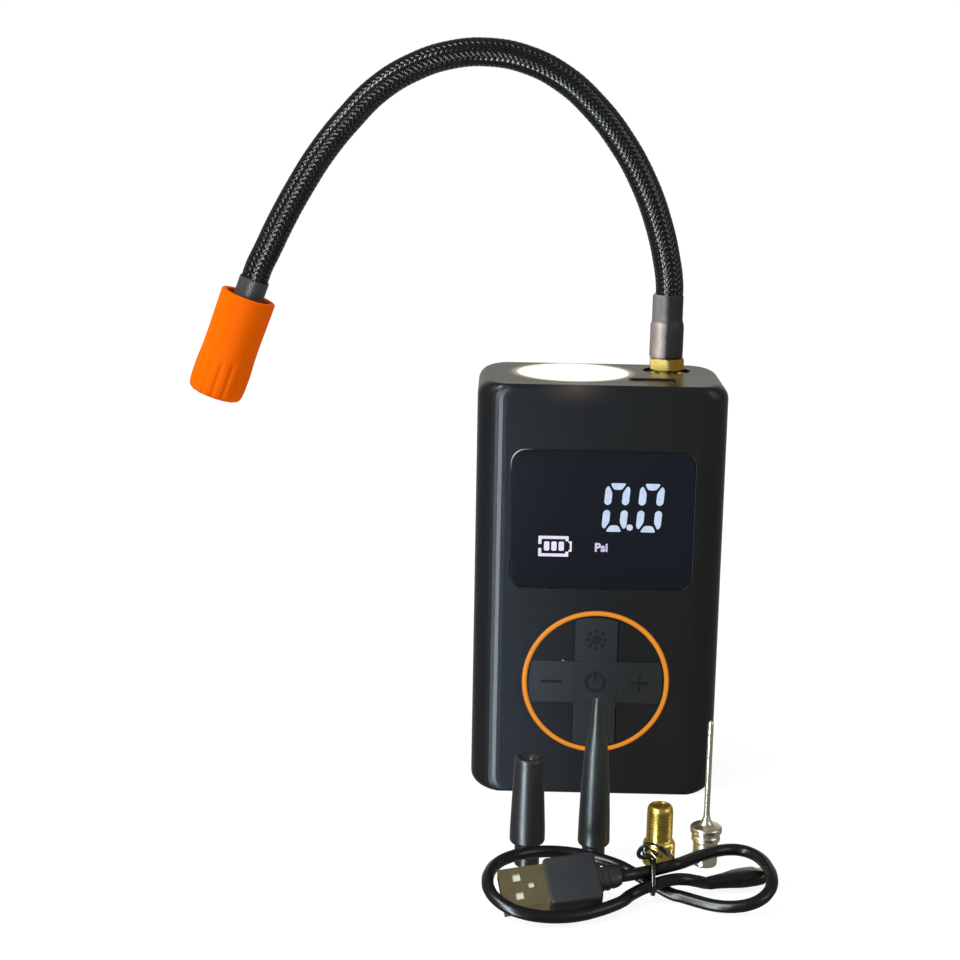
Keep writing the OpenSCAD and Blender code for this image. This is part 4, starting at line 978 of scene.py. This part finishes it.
def build_plug_relief():
    """Flat strain relief of the large plug, with slots across it."""
    work = lofted(PLUG_PLACE, [(PLUG_L + along, width, thick) for along, width, thick in (
        (-0.6, 7.2, 6.0), (0.9, 7.0, 5.9), (1.05, 6.5, 5.4), (1.7, 6.4, 5.3), (1.85, 6.7, 5.6),
        (2.7, 6.5, 5.4), (2.85, 6.0, 4.9), (3.5, 5.8, 4.8), (3.65, 6.1, 5.1), (RELIEF_L, 5.6, 4.7),
        (RELIEF_L + 1.2, 4.4, 4.0),
    )])
    return keep("large_plug_relief", work, "cable_part", "plug_grey", finish=FINISHES["nozzle_black"])


def build_plug_insulator():
    """White tongue inside the large plug's shell, seen through the holes of the shell."""
    place = PLUG_PLACE @ frame_at((-SHELL_L / 2 + 0.3, 0, 0.2))
    work = slab(SHELL_L - 1.0, 11.0, 0.5, rim_layers(1.55, 0.2), place)
    return keep("plug_insulator", work, "cable_part", "cap_plastic", finish=FINISHES["plug_insulator"])


# Turns and points of each tail of the tie, from the middle of the tie
TIE_TAILS = (
    (1.4, [(0, -0.5, 5.4), (-0.9, -0.3, 6.6), (-2.4, -0.1, 6.9), (-3.9, 0, 7.6), (-3.5, 0.1, 9.3),
           (-2.0, 0.2, 10.6), (-0.2, 0.3, 10.9), (1.5, 0.4, 10.2), (2.9, 0.5, 9.0), (4.3, 0.6, 7.8),
           (5.7, 0.8, 6.7), (6.9, 0.9, 5.3)]),
    (-1.8, [(0.1, -0.9, 5.2), (0.6, -0.9, 6.6), (-0.7, -1.0, 7.8), (-2.6, -0.9, 8.4), (-1.8, -0.8, 10.0),
            (-0.2, -0.7, 9.2), (1.2, -0.6, 8.0), (2.3, -0.4, 7.6)]),
)


def build_tie_tails():
    """The two ends of the wire tie, twisted and splayed over the bundle."""
    work = bmesh.new()
    section = [(-0.62, -0.12), (-0.2, -0.3), (0.2, -0.3), (0.62, -0.12), (0.62, 0.12), (0.2, 0.3),
               (-0.2, 0.3), (-0.62, 0.12)]
    for turns, points in TIE_TAILS:
        guide, _ = line_through([TIE_AT + Vector(p) for p in points], 6)
        swept(work, [p / MM for p in guide], section, Vector((0, 1, 0.2)), turns * TURN)
    return keep("cable_tie_tails", work, "cable_part", "tie_black", smooth=30)


cable = build_cable()
large_grip = build_large_moulding()
small_grip = build_small_moulding()
tie = build_tie()
plug_parts = [build_plug_relief(), build_plug_insulator(), build_tie_tails()]
_, cable_length = line_through(cable_route(), 8)


# ---------------------------------------------------------------- loose kit


def build_thread_tree():
    """Ridge of a screw thread round an upright core."""
    tree, g, given, result = new_group(
        "screw thread", "GeometryNodeTree",
        {
            "Geometry": "Geometry", "Core Radius": "Float", "Length": "Float", "Pitch": "Float",
            "Depth": "Float", "Start": "Vector", "Material": "Material",
        },
        {"Geometry": "Geometry"},
    )
    curve = g.geo("CurveSpiral", {
        "Resolution": 40, "Rotations": g.math("DIVIDE", given["Length"], given["Pitch"]),
        "Start Radius": given["Core Radius"], "End Radius": given["Core Radius"],
        "Height": given["Length"],
    })
    curve = g.geo("SetCurveNormal", {"Curve": curve}, mode="Z_UP")
    t = g.geo("SplineParameter")
    thick = g.remap(g.math("MINIMUM", t, g.minus(1.0, t)), 0.0, 0.06, 0.05, 1.0)
    diamond = g.geo("CurvePrimitiveCircle", {"Resolution": 4, "Radius": given["Depth"]})
    keys = {"Curve": curve, "Profile Curve": diamond, "Scale": thick, "Fill Caps": True}
    keys = {"Geometry": g.geo("CurveToMesh", keys), "Translation": given["Start"]}
    whole = g.geo("RealizeInstances", {"Geometry": g.geo("Transform", keys)})
    keys = {"Geometry": whole, "Material": given["Material"]}
    g.put(result["Geometry"], g.geo("SetMaterial", keys))
    return tree


THREAD = build_thread_tree()


def build_kit_piece(name, node, body, slot, soft, outline, thread=None):
    """A turned piece on its node's foot: its height gives its outline, and its thread if it has one."""
    low, high, foot = box_of(node)
    foot[2] = low[2]
    tall = high[2] - low[2]
    work = turned(softened(outline(tall), soft), frame_at(foot), 80)
    bmesh.ops.recalc_face_normals(work, faces=work.faces)
    if thread:
        start, radius, length, pitch, depth = thread(tall)
        ridge = grown(
            linked("seed", bpy.data.meshes.new("seed")), THREAD, "ridge", Core_Radius=radius * MM,
            Length=length * MM, Pitch=pitch * MM, Depth=depth * MM,
            Start=tuple((foot + Vector((0, 0, start))) * MM), Material=FINISHES[slot].material,
        )
        work.from_mesh(ridge)
        bpy.data.meshes.remove(ridge)
    keep(name, mesh_from(name, work, outward=False), body, slot, node, smooth=38)


build_kit_piece(
    "short_inflating_nozzle", "short_nozzle", "short_nozzle_part", "nozzle_black", 0.45,
    lambda h: [(1.9, 1), (1.9, 0), (3.2, 0), (3.6, 0.4), (3.6, 6.8), (4.7, 7.1), (5.1, 7.8), (5.05, 12),
               (4.15, h - 0.6), (3.8, h), (2.7, h), (1.3, h - 1.2), (1.3, h - 7), (1.9, h - 9)],
)
build_kit_piece(
    "long_inflating_nozzle", "long_nozzle", "long_nozzle_part", "nozzle_black", 0.45,
    lambda h: [(1, 1), (1, 0), (2.9, 0), (3.3, 0.4), (3.3, 5.8), (4.3, 6.2), (4.65, 7), (4.5, 14),
               (4.15, h * 0.47), (3.55, h * 0.66), (2.1, h * 0.83), (1.4, h - 0.6), (1.15, h), (0.6, h),
               (0.6, h - 10), (1, h - 12)],
)
build_kit_piece(
    "slim_valve_adapter", "valve_adapter", "adapter_part", "brass", 0.4,
    lambda h: [(2.55, 1), (2.55, 0), (4.3, 0), (4.65, 0.4), (4.65, 6.5), (4.2, 7.2), (3.75, 7.6),
               (3.75, h - 1.4), (3.45, h - 0.5), (2.9, h), (2.2, h), (2.2, 8), (2.55, 7.5)],
    lambda h: (8.4, 3.74, h - 10.6, 0.85, 0.1),
)
build_kit_piece(
    "ball_inflating_needle", "ball_needle", "needle_part", "needle_nickel", 0.3,
    lambda h: [(0, 7.9), (1.2, 7.9), (1.2, 0), (3.3, 0), (3.55, 0.5), (3.55, 7.2), (4.15, 7.6),
               (4.15, 8.9), (3.85, 9.2), (3.85, 9.7), (4.6, 10.1), (4.6, 11.5), (4.2, 11.9), (2.2, 12.3),
               (1.5, 13.2), (0.95, 15), (0.85, 17), (0.85, h - 0.7), (0.4, h), (0, h)],
    lambda h: (1.0, 3.5, 6.0, 0.85, 0.12),
)


# ---------------------------------------------------------------- window, ring, keys and nut


WINDOW_CORNER = 4.4
LIP_OUT = 0.08
PILOT_AT = (-10.3, 43.9)
NUT_FLAT = 5.2
NUT_H = 3.6


def facing(x, z, y):
    """Frame of a flat piece on the face: its X and Y run across and up, its Z points out of the face."""
    return frame_at((x, y, z), (math.pi / 2, "X"))


def build_window():
    """Coated pane with a softly rounded rim, flush in its recess, and a thin rounded lip round it."""
    size = WINDOW_HIGH - WINDOW_LOW
    layers = [(0, 0)] + rim_layers(size[1], 0.35)[5:]
    place = facing(WINDOW_AT[0], WINDOW_AT[2], WINDOW_HIGH[1])
    work = slab(size[0], size[2], WINDOW_CORNER, layers, place)
    keep("coated_window", work, "housing", "window_pane", "display_window", smooth=50)

    wide, tall = size[0] + 2 * LIP_OUT, size[2] + 2 * LIP_OUT
    outline = rounded_outline(wide, tall, WINDOW_CORNER + LIP_OUT, steps=12)
    path = [(WINDOW_AT[0] + x, FRONT_Y + 0.03, WINDOW_AT[2] + z) for x, z in outline]
    section = [(0.17 * math.cos(TURN * k / 8), 0.15 * math.sin(TURN * k / 8)) for k in range(8)]
    work = bmesh.new()
    swept(work, path, section, Vector((0, -1, 0)), closed=True)
    keep("window_lip", work, "housing", "window_pane", finish=lip_finish(), smooth=80)


def build_ring():
    """Accent ring with a domed face, seated in its groove."""
    dome = 0.3
    half = RING_W / 2
    angles = [math.pi * k / 10 for k in range(11)]
    outline = [(RING_MID - half, -0.9)]
    outline += [(RING_MID - half * math.cos(a), dome * (math.sin(a) - 1)) for a in angles]
    outline.append((RING_MID + half, -0.9))
    work = turned(outline, facing(RING_AT[0], RING_AT[2], RING_LOW[1]), 160)
    keep("domed_ring", work, "housing", "accent_orange", "accent_ring", smooth=50)


def build_keys():
    """Keys drawn out towards their neighbours, so that only fine lines are left between them."""
    def drawn(offset, less, more):
        return (min(offset / 4, 1) * more if offset > 0 else max(offset / 4, -1) * less) * MM

    for sign, left, right, up, down in (
        ("light", 0.22, 0.0, 0.1, 0.12), ("minus", 0.1, 0.12, 0.22, 0.22),
        ("power", 0.12, 0.12, 0.12, 0.12), ("plus", 0.12, 0.1, 0.22, 0.22),
        ("mode", 0.22, 0.0, 0.12, 0.1),
    ):
        node = "key_" + sign
        mesh = nodes[node].data.copy()
        middle = box_of(node)[2]
        for vertex in mesh.vertices:
            across, _, rise = vertex.co / MM - middle
            vertex.co.x += drawn(across, left, right)
            vertex.co.z += drawn(rise, down, up)
        keep(node + "_cap", mesh, sign + "_key", "key_black", node, smooth=30)


def build_pilot():
    """Tiny pilot lamp between the upper and the left key."""
    dome = [(0, -0.3), (0.42, -0.3), (0.42, 0.02), (0.36, 0.1), (0.2, 0.16), (0, 0.18)]
    work = turned(dome, facing(*PILOT_AT, RING_LOW[1] + 0.05), 24)
    keep("pilot_lamp", work, "housing", "lens_clear", finish=lit("pilot lamp", (176, 182, 186), 0.7))


def build_nut():
    """Brass hexagon nut under the sleeve, its corners bevelled, on a round collar."""
    corner = NUT_FLAT / math.cos(math.pi / 6)
    top = NUT_HIGH[2] - NUT_LOW[2]
    collar = top - NUT_H

    def hexagon(radius, height, angle):
        if height < collar + 0.01:
            return radius
        side = (angle + math.pi / 6) % (math.pi / 3) - math.pi / 6
        return min(radius, NUT_FLAT / math.cos(side))

    outline = [
        (0, 0), (3.6, 0), (3.6, collar - 0.6), (4.9, collar - 0.55), (5.0, collar - 0.1), (4.9, collar),
        (NUT_FLAT + 0.3, collar + 0.02), (corner, collar + 0.25), (corner, top - 0.3),
        (NUT_FLAT + 0.2, top), (0, top),
    ]
    work = turned(outline, frame_at((NUT_AT[0], NUT_AT[1], NUT_LOW[2])), 72, hexagon)
    keep("hexagon_nut", work, "hose_assembly", "brass", "hose_nut", finish=nut_finish(), smooth=25)


build_window()
build_ring()
build_keys()
build_pilot()
build_nut()


# ---------------------------------------------------------------- lit display

GLYPH_T = 0.03

DIGIT_AT = (0.24, 10.75)
DIGIT_LOW = 85.7
DIGIT_W = 7.6
DIGIT_H = 15.3
DIGIT_BAR = 2.2
DIGIT_SLANT = 1.15
POINT_AT = (9.0, 87.15)

BATTERY_LEFT = -18.9
BATTERY_RIGHT = -9.6
BATTERY_LOW = 77.5
BATTERY_HIGH = 84.0
BATTERY_LINE = 0.95

UNIT_AT = (-1.6, 79.4)
UNIT_SIZE = 3.7
UNIT_BOLD = 0.14


def glyph(work, corners, radius, steps=4):
    """Adds a thin lit shape on the window from corners in mm, its corners rounded."""
    points = []
    corners = [Vector(c) for c in corners]
    for before, corner, after in zip(corners[-1:] + corners, corners, corners[1:] + corners[:1]):
        points += round_corner(before, corner, after, radius, steps)
    walls(work, [[work.verts.new(mm(x, y, z)) for x, z in points] for y in (FRONT_Y, FRONT_Y - GLYPH_T)])


def digit_zero(work, x, z):
    """Seven-segment zero, leaning to the right, its lower left corner at x, z."""
    w, h, b = DIGIT_W, DIGIT_H, DIGIT_BAR
    bar = [(1.35, 0), (2.55, 2.05), (w - 2.55, 2.05), (w - 1.35, 0)]
    upright = [(0, 1.9), (0.55, 1.05), (1.05, 1.05), (b, 3.0), (b, 6.3), (b / 2, 7.0), (0, 6.3)]
    lower = [bar, upright, [(w - u, v) for u, v in upright]]
    for part in lower + [[(u, h - v) for u, v in part] for part in lower]:
        glyph(work, [(x + u + DIGIT_SLANT * v / h, z + v) for u, v in part], 0.75, 5)


def build_digits():
    """Two zeros with a point between them."""
    work = bmesh.new()
    for x in DIGIT_AT:
        digit_zero(work, x, DIGIT_LOW)
    x, z = POINT_AT
    angles = [TURN * k / 12 for k in range(12)]
    glyph(work, [(x + math.cos(a), z + math.sin(a)) for a in angles], 0.1, 1)
    keep("lit_digits", work, "housing", "display_frame", finish=lit("lit digits", (203, 220, 248), 0.98))


def build_battery_sign():
    """Battery sign: a frame open at the middle of its left side, its cap at the right, and three bars."""
    left, right, low, high = BATTERY_LEFT, BATTERY_RIGHT, BATTERY_LOW, BATTERY_HIGH
    line, gap, cap = BATTERY_LINE, 2.6, 1.6
    bars = [left + 1.75 + 2.25 * k for k in range(3)]
    work = bmesh.new()
    for x0, x1, z0, z1, radius in (
        (left, right, high - line, high, 0.3),
        (left, right, low, low + line, 0.3),
        (left, left + line, low + line, low + gap, 0.05),
        (left, left + line, high - gap, high - line, 0.05),
        (right - line, right, low + line, low + cap, 0.05),
        (right - line, right, high - cap, high - line, 0.05),
        *((x, x + 1.65, low + 1.85, high - 1.75, 0.5) for x in bars),
    ):
        glyph(work, [(x0, z0), (x1, z0), (x1, z1), (x0, z1)], radius)
    glyph(work, [
        (right, low + cap), (right + 1.0, low + cap), (right + 1.0, high - cap), (right, high - cap),
        (right, high - 2.2), (right + 0.4, high - 2.2), (right + 0.4, low + 2.2), (right, low + 2.2),
    ], 0.08)
    icon = lit("lit icon", (236, 231, 255), 1.0)
    keep("lit_battery_sign", work, "housing", "display_frame", finish=icon)


def build_unit_sign():
    """The pressure unit, as lit letters."""
    data = bpy.data.curves.new("unit", "FONT")
    data.body = "Psi"
    data.size = UNIT_SIZE * MM
    data.extrude = GLYPH_T / 2 * MM
    data.offset = UNIT_BOLD * MM
    writing = linked("unit", data)
    bpy.context.view_layer.update()
    mesh = bpy.data.meshes.new_from_object(writing)
    bpy.data.objects.remove(writing)
    mesh.transform(facing(*UNIT_AT, FRONT_Y - GLYPH_T / 2))
    keep("lit_unit", mesh, "housing", "display_frame", finish=lit("lit unit", (220, 214, 248), 0.9))


build_digits()
build_battery_sign()
build_unit_sign()


# ---------------------------------------------------------------- studio


FLOOR_LIGHT = 1.27
FLOOR_SHARE = 0.7


def build_floor():
    """Pale floor that shows white to the camera but keeps the object's soft shadow."""
    mesh = bpy.data.meshes.new("floor")
    corners = [(-2.5, -0.19, 0), (2.5, -0.19, 0), (2.5, 3.0, 0), (-2.5, 3.0, 0)]
    mesh.from_pydata(corners, [], [(0, 1, 2, 3)])
    g = Finish("floor pale").feed(Base_Color=(0.8, 0.8, 0.8, 1.0), Roughness=0.9, Specular_IOR_Level=0.0)
    light = g.one("Emission", {"Color": (1, 1, 1, 1), "Strength": FLOOR_LIGHT})
    path = g.add("LightPath")
    share = g.times(g.math("MAXIMUM", path["Is Camera Ray"], path["Is Transmission Ray"]), FLOOR_SHARE)
    blend = g.one("MixShader", {0: share, 1: g.surface.outputs["BSDF"], 2: light})
    g.put(g.tree.nodes["Material Output"].inputs["Surface"], blend)
    mesh.materials.append(g.material)
    floor = linked("floor", mesh)
    floor.visible_glossy = False


def build_world():
    """White behind the object, dimmer on the camera's side, and soft all round for matt surfaces."""
    world = bpy.data.worlds.new("studio")
    bpy.context.scene.world = world
    world.use_nodes = True
    g = Graph(world.node_tree)
    path = g.add("LightPath")
    way = g.axes(g.add("TexCoord")["Generated"])
    behind = g.remap(way["Y"], 0.72, 0.97, 0.19, 0.72)
    round_about = g.remap(way["X"], -0.7, 0.7, 0.66, 0.34)
    mirrored = g.math("MAXIMUM", path["Is Glossy Ray"], path["Is Transmission Ray"])
    soft = g.plus(round_about, g.times(mirrored, g.minus(behind, round_about)))
    background = world.node_tree.nodes["Background"].inputs
    g.put(background["Strength"], g.math("MAXIMUM", soft, path["Is Camera Ray"]))
    g.put(background["Color"], g.mix(mirrored, (1, 1, 1, 1), (1.0, 0.982, 0.885, 1.0)))


def build_lights():
    """Each lamp: its place, what it aims at, its width and height in metres, its power and its colour."""
    for name, at, target, width, height, power, colour in (
        ("strip left", (-0.15, -0.27, -0.005), (-0.03, -0.02, 0.02), 0.05, 0.4, 1.6, (0.8, 0.93, 1.0)),
        ("key soft", (-0.75, -0.55, 0.85), (-0.02, 0.0, 0.09), 0.4, 0.4, 9.0, (1.0, 0.98, 0.95)),
        ("fill right", (0.9, -0.5, 0.5), (0.0, 0.0, 0.08), 0.6, 0.6, 2.0, (1.0, 0.98, 0.96)),
    ):
        data = bpy.data.lights.new(name, "AREA")
        data.shape = "RECTANGLE"
        data.size = width
        data.size_y = height
        data.energy = power
        data.color = colour
        lamp = linked(name, data)
        aim = (Vector(target) - Vector(at)).to_track_quat("-Z", "Y")
        lamp.matrix_world = Matrix.Translation(Vector(at)) @ aim.to_matrix().to_4x4()
        # The strip only draws a streak along the edge that faces it
        lamp.visible_diffuse = name != "strip left"


build_floor()
build_world()
build_lights()
bpy.context.scene.view_settings.view_transform = "Standard"
